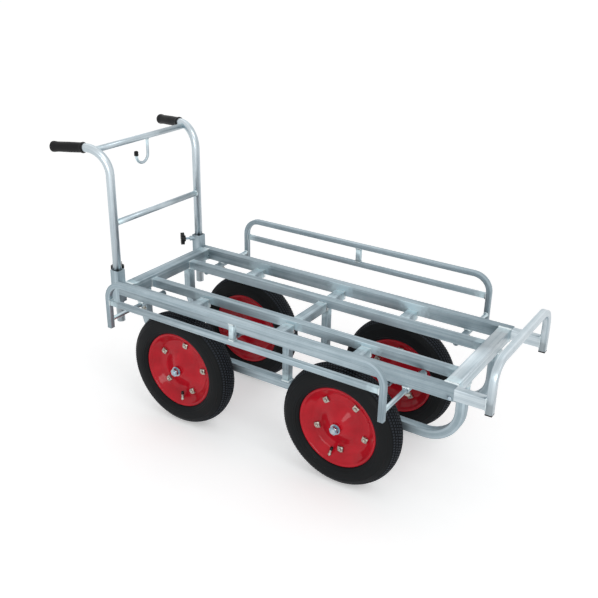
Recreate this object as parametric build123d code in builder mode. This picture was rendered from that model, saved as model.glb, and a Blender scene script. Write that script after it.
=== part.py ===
from build123d import *
from math import cos, radians, sin, tan
import os

# Greenhouse cart in millimetres: +X forward, +Y to its left, +Z up, origin on the ground under its middle

# Wheels
wheel_base = 545.0
wheel_gap = 15.5
tyre_radius = 176.0
tyre_width = 75.0
tyre_wall = 7.0
crown_wall = 14.0
crown_half = 11.0
shoulder_inset = 5.0
shoulder_drop = 13.0
bead_depth = 11.0
rim_flange_radius = 115.0
rim_web_radius = 88.0
rim_width = 55.6
rim_sheet = 2.5
disc_gap = 0.2
hub_radius = 14.0
hub_length = 66.0
hub_cone_foot = 52.0
hub_cone_tip = 22.0
hub_cone_height = 21.5
bolt_circle_radius = 77.0
bolt_count = 5
bolt_diameter = 8.0
bolt_hole_clearance = 0.25
bolt_nut_size = 16.0
bolt_nut_height = 6.5
bolt_phase = {"front": 56.0, "rear": 80.0}

# Axles
axle_diameter = 16.0
axle_clearance = 0.05
axle_play = 0.3
collar_diameter = 26.0
washer_diameter = 30.0
washer_thickness = 3.0
nut_play = 0.1
axle_nut_flats = 22.0
axle_nut_height = 10.0
axle_thread_end = 4.0
saddle_strap = 4.0
saddle_width = 20.0
saddle_flange = 14.0

# Deck
front_overhang = 314.5
rear_overhang = 210.5
deck_width = 408.0
tube_wall = 2.0
rail_width = 26.0
rail_height = 35.0
cross_tube_width = 35.0
inner_rail_spacing = 176.0
inner_rail_size = 25.0
tie_width = 30.0
tie_height = 25.0
tie_drop = 20.0
tyre_headroom = 7.0
rear_tie_shift = 34.5
front_tie_shift = 24.5
middle_tie_x = 57.0

# Underframe
frame_tube = 25.0
frame_bend = 92.0
frame_shift = 15.5
post_size = 22.0
post_shift = -3.0

# Handle
handle_tube_diameter = 25.0
handle_rise = 403.0
handle_tail = 64.0
handle_bend = 72.0
handle_flare = 12.5
handle_droop = 4.0
grip_gap = 1.0
grip_length = 109.0
grip_diameter = 32.0
grip_end = 3.0
grip_chamfer = 4.0
bar_diameter = 18.0
upper_bar_turn = 75.0
upper_bar_drop = 4.0
lower_bar_rise = 182.0
hook_rod = 9.0
hook_bend = 25.0
hook_drop = 52.0
hook_cap_diameter = 13.0
hook_cap_length = 15.0
hook_cap_end = 2.0

# Handle sleeves and clamp knobs
sleeve_clearance = 0.5
sleeve_above = 39.0
sleeve_below = 28.0
knob_drop = 13.0
knob_diameter = 40.0
knob_thickness = 12.0
knob_lobes = 6
knob_notch_radius = 6.5
knob_notch_shift = 3.0
knob_neck_diameter = 20.0
knob_neck = 4.0
knob_gap = 13.0
stud_diameter = 8.0
stud_clearance = 0.05
stud_tip_gap = 0.3
stud_grip = 8.0
boss_diameter = 16.0
boss_reach = 30.0

# Side guards
guard_tube_size = 16.0
guard_bend = 50.0
guard_reach = 122.0
guard_rise = 72.0
guard_foot = 24.0
guard_inset_front = 123.0
guard_inset_rear = 84.0
mid_rail_size = 16.0
mid_rail_rise = 11.5
strut_size = 16.0
guard_rod = 12.0
guard_rod_engaged = 88.0
slide_clearance = 0.3
guard_sleeve_width = 22.0
guard_sleeve_length = 103.5
guard_sleeve_height = 18.0
clamp_screw_diameter = 8.0
clamp_screw_inset = 14.0
clamp_screw_neck = 5.0
clamp_screw_head = 6.0
clamp_screw_flats = 13.0

# Front frame
front_tube_size = 18.0
front_bend = 52.0
front_reach = 87.05
front_rise = 85.0
front_foot = 7.0
front_arm_engaged = 200.0
leg_cap_height = 4.0
leg_plug_depth = 10.0
lock_screw_diameter = 6.0
lock_screw_head_diameter = 10.0
lock_screw_head = 3.0
lock_screw_inset = 8.0

# Heights
axle_height = tyre_radius
low_tube_height = axle_height + axle_diameter / 2 + frame_tube / 2
tie_bottom = 2 * tyre_radius + tyre_headroom
tie_middle = tie_bottom + tie_height / 2
deck_top = tie_bottom + tie_height + tie_drop
rail_bottom = deck_top - rail_height
rail_middle = rail_bottom + rail_height / 2
inner_rail_middle = rail_bottom + inner_rail_size / 2

# Stations along the cart
deck_front = wheel_base / 2 + front_overhang
deck_rear = -wheel_base / 2 - rear_overhang
tie_stations = (
    -wheel_base / 2 + rear_tie_shift,
    middle_tie_x,
    wheel_base / 2 + front_tie_shift,
)
guard_stations = (deck_rear + guard_inset_rear, deck_front - guard_inset_front)
front_leg_x = deck_front + front_reach

# Offsets across the cart
rail_outer = deck_width / 2
rail_y = rail_outer - rail_width / 2
rail_inner = rail_outer - rail_width
inner_rail_y = inner_rail_spacing / 2
inner_rail_outer = inner_rail_y + inner_rail_size / 2
inner_rail_inner = inner_rail_y - inner_rail_size / 2
frame_y = inner_rail_y + frame_shift
frame_outer = frame_y + frame_tube / 2
wheel_y = frame_outer + wheel_gap + tyre_width / 2
guard_y = rail_outer + guard_reach

SIDES = {"right": -1, "left": 1}
ENDS = {"front": 1, "rear": -1}

os.makedirs("parts", exist_ok=True)


def save(piece, label):
    """Labels a finished piece and writes it to its own file."""
    piece.part.label = label
    export_step(piece.part, f"parts/{label}.step")


def box_bar(start, along, across, width, height):
    """The cut end of a rectangular bar that starts at a point and runs along a direction."""
    with BuildSketch(Plane(origin=start, x_dir=across, z_dir=along)) as section:
        Rectangle(width, height)
    return section.sketch


def box_tube(start, along, across, width, height):
    """The cut end of a rectangular tube that starts at a point and runs along a direction."""
    with BuildSketch(Plane(origin=start, x_dir=across, z_dir=along)) as section:
        Rectangle(width, height)
        Rectangle(width - 2 * tube_wall, height - 2 * tube_wall, mode=Mode.SUBTRACT)
    return section.sketch


def round_tube(path, diameter):
    """The cut end of a round tube, square to the start of its path."""
    with BuildSketch(Plane(origin=path @ 0, z_dir=path % 0)) as section:
        Circle(diameter / 2)
        Circle(diameter / 2 - tube_wall, mode=Mode.SUBTRACT)
    return section.sketch


def rod(start, along, diameter, bore=0.0):
    """The end of a round rod, or of a ring if it is bored."""
    with BuildSketch(Plane(origin=start, z_dir=along)) as section:
        Circle(diameter / 2)
        if bore:
            Circle(bore / 2, mode=Mode.SUBTRACT)
    return section.sketch


def hexagon(start, along, flats, bore=0.0):
    """The end of a hexagon nut or head, across its flats."""
    with BuildSketch(Plane(origin=start, z_dir=along)) as section:
        RegularPolygon(flats / 2, 6, major_radius=False)
        if bore:
            Circle(bore / 2, mode=Mode.SUBTRACT)
    return section.sketch


# Outer rails, bored across near the front end for the lock screws
lock_screw_x = deck_front - lock_screw_inset
lock_screw_z = rail_bottom + lock_screw_inset

for side, s in SIDES.items():
    with BuildPart() as outer_rail:
        extrude(box_tube((deck_rear, s * rail_y, rail_middle), (1, 0, 0), (0, 1, 0), rail_width, rail_height),
                amount=deck_front - deck_rear)
        extrude(rod((lock_screw_x, s * rail_inner, lock_screw_z), (0, s, 0), lock_screw_diameter),
                amount=rail_width, mode=Mode.SUBTRACT)
    save(outer_rail, f"outer_rail_{side}")

# Inner rails between the cross tubes
inner_rail_rear = deck_rear + cross_tube_width
inner_rail_front = deck_front - cross_tube_width

for side, s in SIDES.items():
    with BuildPart() as inner_rail:
        extrude(box_tube((inner_rail_rear, s * inner_rail_y, inner_rail_middle), (1, 0, 0), (0, 1, 0),
                         inner_rail_size, inner_rail_size),
                amount=inner_rail_front - inner_rail_rear)
    save(inner_rail, f"inner_rail_{side}")

# Cross tubes between the outer rails
cross_tube_x = {
    "front": deck_front - cross_tube_width / 2,
    "rear": deck_rear + cross_tube_width / 2,
}
for end, x in cross_tube_x.items():
    with BuildPart() as cross_tube:
        extrude(box_tube((x, -rail_inner, rail_middle), (0, 1, 0), (1, 0, 0), cross_tube_width, rail_height),
                amount=2 * rail_inner)
    save(cross_tube, f"{end}_cross_tube")

# Side ties from the inner to the outer rails
with BuildPart() as side_ties:
    for x in tie_stations:
        for s in SIDES.values():
            inner_end = (x, s * inner_rail_outer, tie_middle)
            extrude(box_tube(inner_end, (0, s, 0), (1, 0, 0), tie_width, tie_height),
                    amount=rail_inner - inner_rail_outer)
save(side_ties, "side_ties")

# Centre tie between the inner rails
with BuildPart() as centre_tie:
    right_end = (middle_tie_x, -inner_rail_inner, tie_middle)
    extrude(box_tube(right_end, (0, 1, 0), (1, 0, 0), tie_width, tie_height), amount=2 * inner_rail_inner)
save(centre_tie, "centre_tie")

# Underframe tubes: front upright, bend, low tube, bend, rear upright
upright_front = deck_front - frame_tube / 2
upright_rear = deck_rear + frame_tube / 2

for side, s in SIDES.items():
    y = s * frame_y
    with BuildPart() as underframe:
        with BuildLine() as underframe_path:
            FilletPolyline((upright_front, y, rail_bottom), (upright_front, y, low_tube_height),
                           (upright_rear, y, low_tube_height), (upright_rear, y, rail_bottom),
                           radius=frame_bend)
        sweep(box_tube((upright_front, y, rail_bottom), (0, 0, -1), (1, 0, 0), frame_tube, frame_tube),
              path=underframe_path.line)
    save(underframe, f"underframe_{side}")

# Middle posts from the low tubes up to the middle ties
post_foot = low_tube_height + frame_tube / 2

with BuildPart() as middle_posts:
    for s in SIDES.values():
        extrude(box_tube((middle_tie_x + post_shift, s * frame_y, post_foot), (0, 0, 1), (1, 0, 0),
                         post_size, post_size),
                amount=tie_bottom - post_foot)
save(middle_posts, "middle_posts")

# Axles with shoulder collars between the underframe and the hubs
hub_inner = wheel_y - hub_length / 2
hub_outer = wheel_y + hub_length / 2
washer_inner = hub_outer + axle_play
nut_inner = washer_inner + washer_thickness + nut_play
axle_end = nut_inner + axle_nut_height + axle_thread_end

for end, e in ENDS.items():
    axle_x = e * wheel_base / 2
    with BuildPart() as axle:
        extrude(rod((axle_x, -axle_end, axle_height), (0, 1, 0), axle_diameter), amount=2 * axle_end)
        for s in SIDES.values():
            extrude(rod((axle_x, s * frame_outer, axle_height), (0, s, 0), collar_diameter),
                    amount=hub_inner - axle_play - frame_outer)
    save(axle, f"axle_{end}")

# Axle saddles: straps round the axles, flanged against the low tubes
saddle_radius = axle_diameter / 2 + saddle_strap
saddle_half = saddle_radius + saddle_flange
below = (Align.CENTER, Align.MAX)
above = (Align.CENTER, Align.MIN)

with BuildPart() as axle_saddles:
    for e in ENDS.values():
        for s in SIDES.values():
            outer_face = (e * wheel_base / 2, s * frame_y + saddle_width / 2, axle_height)
            with BuildSketch(Plane(origin=outer_face, x_dir=(1, 0, 0), z_dir=(0, -1, 0))):
                Circle(saddle_radius)
                with Locations((0, axle_diameter / 2)):
                    Rectangle(2 * saddle_half, saddle_strap, align=below)
                    Rectangle(2 * saddle_radius, axle_diameter / 2, align=below)
                    Rectangle(2 * saddle_half, saddle_radius, align=above, mode=Mode.SUBTRACT)
                    Rectangle(axle_diameter, axle_diameter / 2, align=below, mode=Mode.SUBTRACT)
                Circle(axle_diameter / 2, mode=Mode.SUBTRACT)
            extrude(amount=saddle_width)
save(axle_saddles, "axle_saddles")

# Washers and nuts on the axle ends
with BuildPart() as axle_fasteners:
    for e in ENDS.values():
        for s in SIDES.values():
            washer_start = (e * wheel_base / 2, s * washer_inner, axle_height)
            nut_start = (e * wheel_base / 2, s * nut_inner, axle_height)
            extrude(rod(washer_start, (0, s, 0), washer_diameter, axle_diameter), amount=washer_thickness)
            extrude(hexagon(nut_start, (0, s, 0), axle_nut_flats, axle_diameter), amount=axle_nut_height)
save(axle_fasteners, "axle_fasteners")

# Wheel profiles, as distance from the wheel's middle plane and radius
disc_inner = disc_gap / 2
disc_outer = disc_inner + rim_sheet
rim_half = rim_width / 2
flange_inner = rim_half - rim_sheet
bead_radius = rim_flange_radius - bead_depth
bead_share = (bead_radius - rim_web_radius) / (rim_flange_radius - rim_web_radius)
bead_half = disc_inner + bead_share * (flange_inner - disc_inner)
belly_half = tyre_width / 2
shoulder_half = belly_half - shoulder_inset
shoulder_radius = tyre_radius - shoulder_drop
belly_radius = (rim_flange_radius + shoulder_radius) / 2

tyre_outside = (
    (bead_half, bead_radius),
    (flange_inner, rim_flange_radius),
    (belly_half, belly_radius),
    (shoulder_half, shoulder_radius),
    (crown_half, tyre_radius),
)
tyre_inside = (
    (shoulder_half - tyre_wall, tyre_radius - crown_wall),
    (belly_half - tyre_wall, belly_radius),
)
disc_profile = (
    (disc_inner, hub_radius),
    (disc_outer, hub_radius),
    (disc_outer, rim_web_radius),
    (rim_half, rim_flange_radius),
    (flange_inner, rim_flange_radius),
    (disc_inner, rim_web_radius),
)
hub_profile = (
    (hub_length / 2, axle_diameter / 2 + axle_clearance),
    (hub_length / 2, hub_radius),
    (disc_outer + hub_cone_height, hub_radius),
    (disc_outer + hub_cone_height, hub_cone_tip),
    (disc_outer, hub_cone_foot),
    (disc_outer, hub_radius),
)


def mirrored(points):
    """The same outline on the other side of the wheel's middle plane, followed the other way."""
    return [(-a, r) for a, r in reversed(points)]


for end, e in ENDS.items():
    for side, s in SIDES.items():
        centre = (e * wheel_base / 2, s * wheel_y, axle_height)
        spin = Axis(centre, (0, 1, 0))
        section = Plane(origin=centre, x_dir=(0, s, 0), z_dir=(s, 0, 0))
        face = Plane(origin=centre, x_dir=(1, 0, 0), z_dir=(0, s, 0))
        wheel = f"{end}_{side}"

        with BuildPart() as tyre:
            with BuildSketch(section):
                with BuildLine():
                    Polyline(*tyre_outside, *mirrored(tyre_outside),
                             *mirrored(tyre_inside), *tyre_inside, close=True)
                make_face()
            revolve(axis=spin)
        save(tyre, f"tyre_{wheel}")

        with BuildPart() as rim_discs:
            for outline in (disc_profile, mirrored(disc_profile)):
                with BuildSketch(section):
                    with BuildLine():
                        Polyline(*outline, close=True)
                    make_face()
                revolve(axis=spin)
            with BuildSketch(face.offset(-disc_outer)):
                with PolarLocations(bolt_circle_radius, bolt_count, start_angle=bolt_phase[end]):
                    Circle(bolt_diameter / 2 + bolt_hole_clearance)
            extrude(amount=2 * disc_outer, mode=Mode.SUBTRACT)
        save(rim_discs, f"rim_discs_{wheel}")

        with BuildPart() as hub:
            with BuildSketch(section):
                with BuildLine():
                    Polyline(*hub_profile, *mirrored(hub_profile), close=True)
                make_face()
            revolve(axis=spin)
        save(hub, f"hub_{wheel}")

        with BuildPart() as wheel_bolts:
            with BuildSketch(face.offset(-disc_outer)):
                with PolarLocations(bolt_circle_radius, bolt_count, start_angle=bolt_phase[end]):
                    Circle(bolt_diameter / 2)
            extrude(amount=2 * disc_outer)
            for nut_face in (disc_outer, -disc_outer - bolt_nut_height):
                with BuildSketch(face.offset(nut_face)):
                    with PolarLocations(bolt_circle_radius, bolt_count, start_angle=bolt_phase[end]):
                        Rectangle(bolt_nut_size, bolt_nut_size)
                extrude(amount=bolt_nut_height)
        save(wheel_bolts, f"wheel_bolts_{wheel}")

# Handle sleeves behind the outer rails, with a boss on the rear inner corner for the clamp stud
sleeve_size = handle_tube_diameter + 2 * sleeve_clearance + 2 * tube_wall
sleeve_bore = sleeve_size - 2 * tube_wall
upright_x = deck_rear - sleeve_size / 2
upright_y = rail_outer - sleeve_size / 2
sleeve_foot = rail_bottom - sleeve_below
sleeve_top = deck_top + sleeve_above
knob_height = sleeve_top - knob_drop
knob_start = boss_reach + knob_gap
stud_start = handle_tube_diameter / 2 + stud_tip_gap

for side, s in SIDES.items():
    foot = Plane(origin=(upright_x, s * upright_y, sleeve_foot))
    clamp = Plane(origin=(upright_x, s * upright_y, knob_height), x_dir=(0, 0, 1), z_dir=(-1, -s, 0))

    with BuildPart() as handle_sleeve:
        with BuildSketch(foot):
            Rectangle(sleeve_size, sleeve_size)
        extrude(amount=sleeve_top - sleeve_foot)
        with BuildSketch(clamp):
            Circle(boss_diameter / 2)
        extrude(amount=boss_reach)
        with BuildSketch(foot):
            Rectangle(sleeve_bore, sleeve_bore)
        extrude(amount=sleeve_top - sleeve_foot, mode=Mode.SUBTRACT)
        with BuildSketch(clamp):
            Circle(stud_diameter / 2 + stud_clearance)
        extrude(amount=boss_reach, mode=Mode.SUBTRACT)
    save(handle_sleeve, f"handle_sleeve_{side}")

    with BuildPart() as knob_stud:
        with BuildSketch(clamp.offset(stud_start)):
            Circle(stud_diameter / 2)
        extrude(amount=knob_start + stud_grip - stud_start)
    save(knob_stud, f"knob_stud_{side}")

    with BuildPart() as knob:
        with BuildSketch(clamp.offset(knob_start)):
            Circle(knob_neck_diameter / 2)
        extrude(amount=knob_neck)
        with BuildSketch(clamp.offset(knob_start + knob_neck)):
            Circle(knob_diameter / 2)
            with PolarLocations(knob_diameter / 2 + knob_notch_shift, knob_lobes):
                Circle(knob_notch_radius, mode=Mode.SUBTRACT)
        extrude(amount=knob_thickness)
        with BuildSketch(clamp.offset(knob_start)):
            Circle(stud_diameter / 2)
        extrude(amount=stud_grip, mode=Mode.SUBTRACT)
    save(knob, f"knob_{side}")

# Handle tubes: upright, bend and a flared, slightly drooping run for the grip
flare = radians(handle_flare)
droop = radians(handle_droop)
handle_tangent = handle_bend * tan((radians(90) + droop) / 2)
corner_height = deck_top + handle_rise
tail_height = sleeve_foot - handle_tail
run_length = handle_tangent + grip_gap + grip_length - grip_end


def run_direction(s):
    """The way the handle's grip run points on one side."""
    return Vector(-cos(flare) * cos(droop), s * sin(flare) * cos(droop), -sin(droop))


def handle_path(s):
    """The centre line of the handle tube on one side, from its tail to the end of the grip run."""
    tail = Vector(upright_x, s * upright_y, tail_height)
    corner = Vector(upright_x, s * upright_y, corner_height)
    return FilletPolyline(tail, corner, corner + run_direction(s) * run_length, radius=handle_bend)


for side, s in SIDES.items():
    with BuildPart() as handle_tube:
        with BuildLine() as tube_path:
            handle_path(s)
        sweep(round_tube(tube_path.line, handle_tube_diameter), path=tube_path.line)
    save(handle_tube, f"handle_tube_{side}")

    grip_start = tube_path.line @ 1 + run_direction(s) * (grip_end - grip_length)
    with BuildPart() as grip:
        extrude(rod(grip_start, run_direction(s), grip_diameter), amount=grip_length)
        chamfer(grip.faces().sort_by(Axis(grip_start, run_direction(s)))[-1].edges(), grip_chamfer)
        extrude(rod(grip_start, run_direction(s), handle_tube_diameter),
                amount=grip_length - grip_end, mode=Mode.SUBTRACT)
    save(grip, f"grip_{side}")

# Upper bar between the bends, coped to them
bar_turn = radians(upper_bar_turn)
bar_setback = handle_bend * (1 - cos(bar_turn))
upper_bar_x = upright_x - bar_setback * cos(flare)
upper_bar_half = upright_y + bar_setback * sin(flare)
upper_bar_z = corner_height - handle_tangent + handle_bend * sin(bar_turn) - upper_bar_drop

with BuildPart() as upper_bar:
    extrude(rod((upper_bar_x, -upper_bar_half, upper_bar_z), (0, 1, 0), bar_diameter),
            amount=2 * upper_bar_half)
    for s in SIDES.values():
        with BuildLine() as cope_path:
            handle_path(s)
        sweep(rod(cope_path.line @ 0, cope_path.line % 0, handle_tube_diameter),
              path=cope_path.line, mode=Mode.SUBTRACT)
save(upper_bar, "upper_bar")

# Lower bar between the uprights, coped to them
lower_bar_z = deck_top + lower_bar_rise

with BuildPart() as lower_bar:
    extrude(rod((upright_x, -upright_y, lower_bar_z), (0, 1, 0), bar_diameter), amount=2 * upright_y)
    for s in SIDES.values():
        extrude(rod((upright_x, s * upright_y, lower_bar_z - bar_diameter), (0, 0, 1), handle_tube_diameter),
                amount=2 * bar_diameter, mode=Mode.SUBTRACT)
save(lower_bar, "lower_bar")

# J-hook under the upper bar, coped to it
hook_bend_z = upper_bar_z - hook_drop
tip_height = hook_bend_z + hook_cap_length - hook_cap_end

with BuildPart() as hook:
    with BuildLine() as hook_path:
        Line((upper_bar_x, hook_bend, upper_bar_z), (upper_bar_x, hook_bend, hook_bend_z))
        ThreePointArc((upper_bar_x, hook_bend, hook_bend_z), (upper_bar_x, 0, hook_bend_z - hook_bend),
                      (upper_bar_x, -hook_bend, hook_bend_z))
        Line((upper_bar_x, -hook_bend, hook_bend_z), (upper_bar_x, -hook_bend, tip_height))
    sweep(rod((upper_bar_x, hook_bend, upper_bar_z), (0, 0, -1), hook_rod), path=hook_path.line)
    extrude(rod((upper_bar_x, hook_bend - bar_diameter, upper_bar_z), (0, 1, 0), bar_diameter),
            amount=2 * bar_diameter, mode=Mode.SUBTRACT)
save(hook, "hook")

with BuildPart() as hook_cap:
    extrude(rod((upper_bar_x, -hook_bend, tip_height + hook_cap_end), (0, 0, -1), hook_cap_diameter),
            amount=hook_cap_length)
    extrude(rod((upper_bar_x, -hook_bend, tip_height), (0, 0, -1), hook_rod),
            amount=hook_cap_length, mode=Mode.SUBTRACT)
save(hook_cap, "hook_cap")

# Guard sleeves under the rails, bored for the guards' rods and tapped from below for the clamp screws
guard_rod_z = rail_bottom - guard_sleeve_height / 2
clamp_screw_y = rail_outer - clamp_screw_inset

for side, s in SIDES.items():
    with BuildPart() as guard_sleeves:
        for x in guard_stations:
            inner_end = (x, s * (rail_outer - guard_sleeve_length), guard_rod_z)
            with BuildSketch(Plane(origin=inner_end, x_dir=(1, 0, 0), z_dir=(0, s, 0))):
                Rectangle(guard_sleeve_width, guard_sleeve_height)
                Circle(guard_rod / 2 + slide_clearance, mode=Mode.SUBTRACT)
            extrude(amount=guard_sleeve_length)
            extrude(rod((x, s * clamp_screw_y, guard_rod_z), (0, 0, -1), clamp_screw_diameter),
                    amount=guard_sleeve_height, mode=Mode.SUBTRACT)
    save(guard_sleeves, f"guard_sleeves_{side}")

# Clamp screws that press the guards' rods from below
screw_tip = guard_rod_z - guard_rod / 2 - slide_clearance
screw_head_top = rail_bottom - guard_sleeve_height - clamp_screw_neck

with BuildPart() as clamp_screws:
    for x in guard_stations:
        for s in SIDES.values():
            extrude(rod((x, s * clamp_screw_y, screw_head_top), (0, 0, 1), clamp_screw_diameter),
                    amount=screw_tip - screw_head_top)
            extrude(hexagon((x, s * clamp_screw_y, screw_head_top), (0, 0, -1), clamp_screw_flats),
                    amount=clamp_screw_head)
save(clamp_screws, "clamp_screws")

# Lock screws in the outer walls of the outer rails
with BuildPart() as lock_screws:
    for s in SIDES.values():
        extrude(rod((lock_screw_x, s * rail_outer, lock_screw_z), (0, -s, 0), lock_screw_diameter),
                amount=tube_wall)
        extrude(rod((lock_screw_x, s * rail_outer, lock_screw_z), (0, s, 0), lock_screw_head_diameter),
                amount=lock_screw_head)
save(lock_screws, "lock_screws")

# Side guards: bent tube, mid rail, strut and the two rods that slide in the guard sleeves
guard_rear, guard_front = guard_stations
guard_top = deck_top + guard_rise
guard_bottom = guard_rod_z - guard_foot
mid_rail_z = deck_top + mid_rail_rise
strut_foot = mid_rail_z + mid_rail_size / 2
strut_top = guard_top - guard_tube_size / 2
strut_x = (guard_rear + guard_front) / 2


def guard_path(s):
    """The centre line of the guard tube on one side, from foot to foot."""
    y = s * guard_y
    return FilletPolyline((guard_rear, y, guard_bottom), (guard_rear, y, guard_top),
                          (guard_front, y, guard_top), (guard_front, y, guard_bottom), radius=guard_bend)


for side, s in SIDES.items():
    y = s * guard_y
    foot = (guard_rear, y, guard_bottom)

    with BuildPart() as guard_tube:
        with BuildLine() as bent_path:
            guard_path(s)
        sweep(box_tube(foot, (0, 0, 1), (1, 0, 0), guard_tube_size, guard_tube_size), path=bent_path.line)
    save(guard_tube, f"guard_tube_{side}")

    with BuildPart() as guard_mid_rail:
        extrude(box_tube((guard_rear, y, mid_rail_z), (1, 0, 0), (0, 1, 0), mid_rail_size, mid_rail_size),
                amount=guard_front - guard_rear)
        with BuildLine() as cope_path:
            guard_path(s)
        sweep(box_bar(foot, (0, 0, 1), (1, 0, 0), guard_tube_size, guard_tube_size),
              path=cope_path.line, mode=Mode.SUBTRACT)
    save(guard_mid_rail, f"guard_mid_rail_{side}")

    with BuildPart() as guard_strut:
        extrude(box_tube((strut_x, y, strut_foot), (0, 0, 1), (1, 0, 0), strut_size, strut_size),
                amount=strut_top - strut_foot)
    save(guard_strut, f"guard_strut_{side}")

    with BuildPart() as guard_rods:
        for x in guard_stations:
            extrude(rod((x, s * (rail_outer - guard_rod_engaged), guard_rod_z), (0, s, 0), guard_rod),
                    amount=guard_rod_engaged + guard_reach - guard_tube_size / 2)
    save(guard_rods, f"guard_rods_{side}")

# Front frame: U tube, the two arms that slide in the outer rails, and the caps on its legs
front_top = deck_top + front_rise
front_leg_foot = rail_bottom - front_foot
arm_width = rail_width - 2 * tube_wall - 2 * slide_clearance
arm_height = rail_height - 2 * tube_wall - 2 * slide_clearance
arm_start = deck_front - front_arm_engaged
leg_plug_size = front_tube_size - 2 * tube_wall

with BuildPart() as front_frame_tube:
    with BuildLine() as front_path:
        FilletPolyline((front_leg_x, -rail_y, front_leg_foot), (front_leg_x, -rail_y, front_top),
                       (front_leg_x, rail_y, front_top), (front_leg_x, rail_y, front_leg_foot),
                       radius=front_bend)
    right_foot = (front_leg_x, -rail_y, front_leg_foot)
    sweep(box_tube(right_foot, (0, 0, 1), (1, 0, 0), front_tube_size, front_tube_size), path=front_path.line)
save(front_frame_tube, "front_frame_tube")

with BuildPart() as front_arms:
    for s in SIDES.values():
        extrude(box_tube((arm_start, s * rail_y, rail_middle), (1, 0, 0), (0, 1, 0), arm_width, arm_height),
                amount=front_leg_x - front_tube_size / 2 - arm_start)
save(front_arms, "front_arms")

with BuildPart() as front_leg_caps:
    for s in SIDES.values():
        leg_end = (front_leg_x, s * rail_y, front_leg_foot)
        extrude(box_bar(leg_end, (0, 0, -1), (1, 0, 0), front_tube_size, front_tube_size),
                amount=leg_cap_height)
        extrude(box_bar(leg_end, (0, 0, 1), (1, 0, 0), leg_plug_size, leg_plug_size),
                amount=leg_plug_depth)
save(front_leg_caps, "front_leg_caps")
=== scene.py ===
import math

import bmesh
import bpy
from mathutils import Matrix, Vector


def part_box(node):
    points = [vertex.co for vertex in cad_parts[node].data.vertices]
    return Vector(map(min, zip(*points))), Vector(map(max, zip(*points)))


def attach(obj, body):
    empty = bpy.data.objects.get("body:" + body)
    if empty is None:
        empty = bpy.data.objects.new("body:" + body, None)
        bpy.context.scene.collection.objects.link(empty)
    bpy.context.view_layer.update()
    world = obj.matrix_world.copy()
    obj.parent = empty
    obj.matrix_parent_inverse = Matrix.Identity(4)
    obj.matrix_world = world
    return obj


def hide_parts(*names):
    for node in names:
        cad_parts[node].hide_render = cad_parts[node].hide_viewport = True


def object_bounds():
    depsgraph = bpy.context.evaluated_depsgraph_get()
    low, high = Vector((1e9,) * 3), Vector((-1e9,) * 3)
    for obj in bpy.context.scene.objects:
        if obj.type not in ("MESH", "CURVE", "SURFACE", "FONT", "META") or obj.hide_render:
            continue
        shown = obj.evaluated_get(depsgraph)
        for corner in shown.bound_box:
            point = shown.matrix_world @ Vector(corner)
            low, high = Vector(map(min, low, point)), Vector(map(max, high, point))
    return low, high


bl_info = {
    "name": "Greenhouse Cart",
    "version": (1, 0, 0),
    "blender": (4, 5, 0),
    "location": "3D View > Sidebar > Cart",
    "description": "Finishes the tubes, welds, wheels and fittings of a greenhouse cart",
    "category": "Object",
}

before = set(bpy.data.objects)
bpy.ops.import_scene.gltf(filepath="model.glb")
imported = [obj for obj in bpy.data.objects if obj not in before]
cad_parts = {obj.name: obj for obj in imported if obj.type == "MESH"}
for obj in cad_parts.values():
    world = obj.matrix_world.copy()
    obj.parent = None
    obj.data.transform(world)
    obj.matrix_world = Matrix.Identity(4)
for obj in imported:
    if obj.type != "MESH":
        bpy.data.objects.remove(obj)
cad_box = [list(corner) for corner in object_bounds()]

MM = 0.001
X, Y, Z = range(3)
OTHER_AXES = ((Y, Z), (X, Z), (X, Y))
ENDS = ("front", "rear")
SIDES = ("right", "left")
CORNERS = ("front_right", "front_left", "rear_right", "rear_left")
# The two faces of a wheel and the two ends of an axle, as signs along Y.
FACES = (-1.0, 1.0)
ORIGIN = (0.0, 0.0, 0.0)
WHITE = (1.0, 1.0, 1.0, 1.0)

# A Mix node's sockets: its two numbers, its two colours and the colour it gives.
MIX_A, MIX_B, COLOUR_A, COLOUR_B, MIXED_COLOUR = 2, 3, 6, 7, 2

# In a made mesh, points nearer than a seam are one point. In a CAD mesh, points nearer than a speck are one,
# and faces that are smaller than it go from any mesh.
SEAM = 0.002 * MM
SPECK = 0.001 * MM

# Profiles hold millimetres along the axis that they are turned about and millimetres out from it.
GRIP = ((-109, 12.6), (-109, 15.2), (-107, 16), (-103, 16), (-101, 14.8), (-97, 14.4), (-60, 14.9),
        (-22, 14.4), (-14, 15.2), (-8, 16), (-2.5, 15.2), (0, 11.5), (0, 0))
TYRE_SIDE = ((30.4, 163.4), (31.0, 162.0), (33.4, 158.6), (34.9, 155.0), (35.8, 154.6), (36.0, 153.6),
             (35.6, 153.0), (36.7, 148.0), (37.3, 142.0), (37.4, 138.0), (37.0, 133.0), (37.4, 132.6),
             (37.3, 131.6), (36.7, 131.2), (36.2, 128.0), (36.3, 126.8), (35.7, 125.6), (34.6, 125.2),
             (33.0, 122.0), (30.4, 118.9), (27.6, 117.3), (24.4, 116.7), (23.6, 114.5), (14.6, 104.6))
TYRE_INSIDE = ((12.0, 106.0), (22.0, 118.0), (30.5, 140.5), (27.0, 160.0), (0.0, 167.0))
RIM_SHOWN = ((2.7, 14.0), (2.7, 83.0), (4.2, 88.0), (21.5, 105.6), (26.4, 109.2), (28.3, 112.6),
             (27.4, 116.2), (25.2, 116.8))
RIM_HIDDEN = ((25.0, 115.4), (25.2, 112.8), (23.6, 110.4), (19.6, 107.4), (2.4, 90.4), (0.1, 86.0),
              (0.1, 14.0))
HUB_HALF = ((2.75, 67.0), (3.6, 61.0), (7.0, 52.0), (12.0, 42.5), (17.0, 33.0), (21.2, 25.0), (23.8, 19.0),
            (24.4, 14.0), (33.0, 14.0), (33.0, 8.1))
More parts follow.
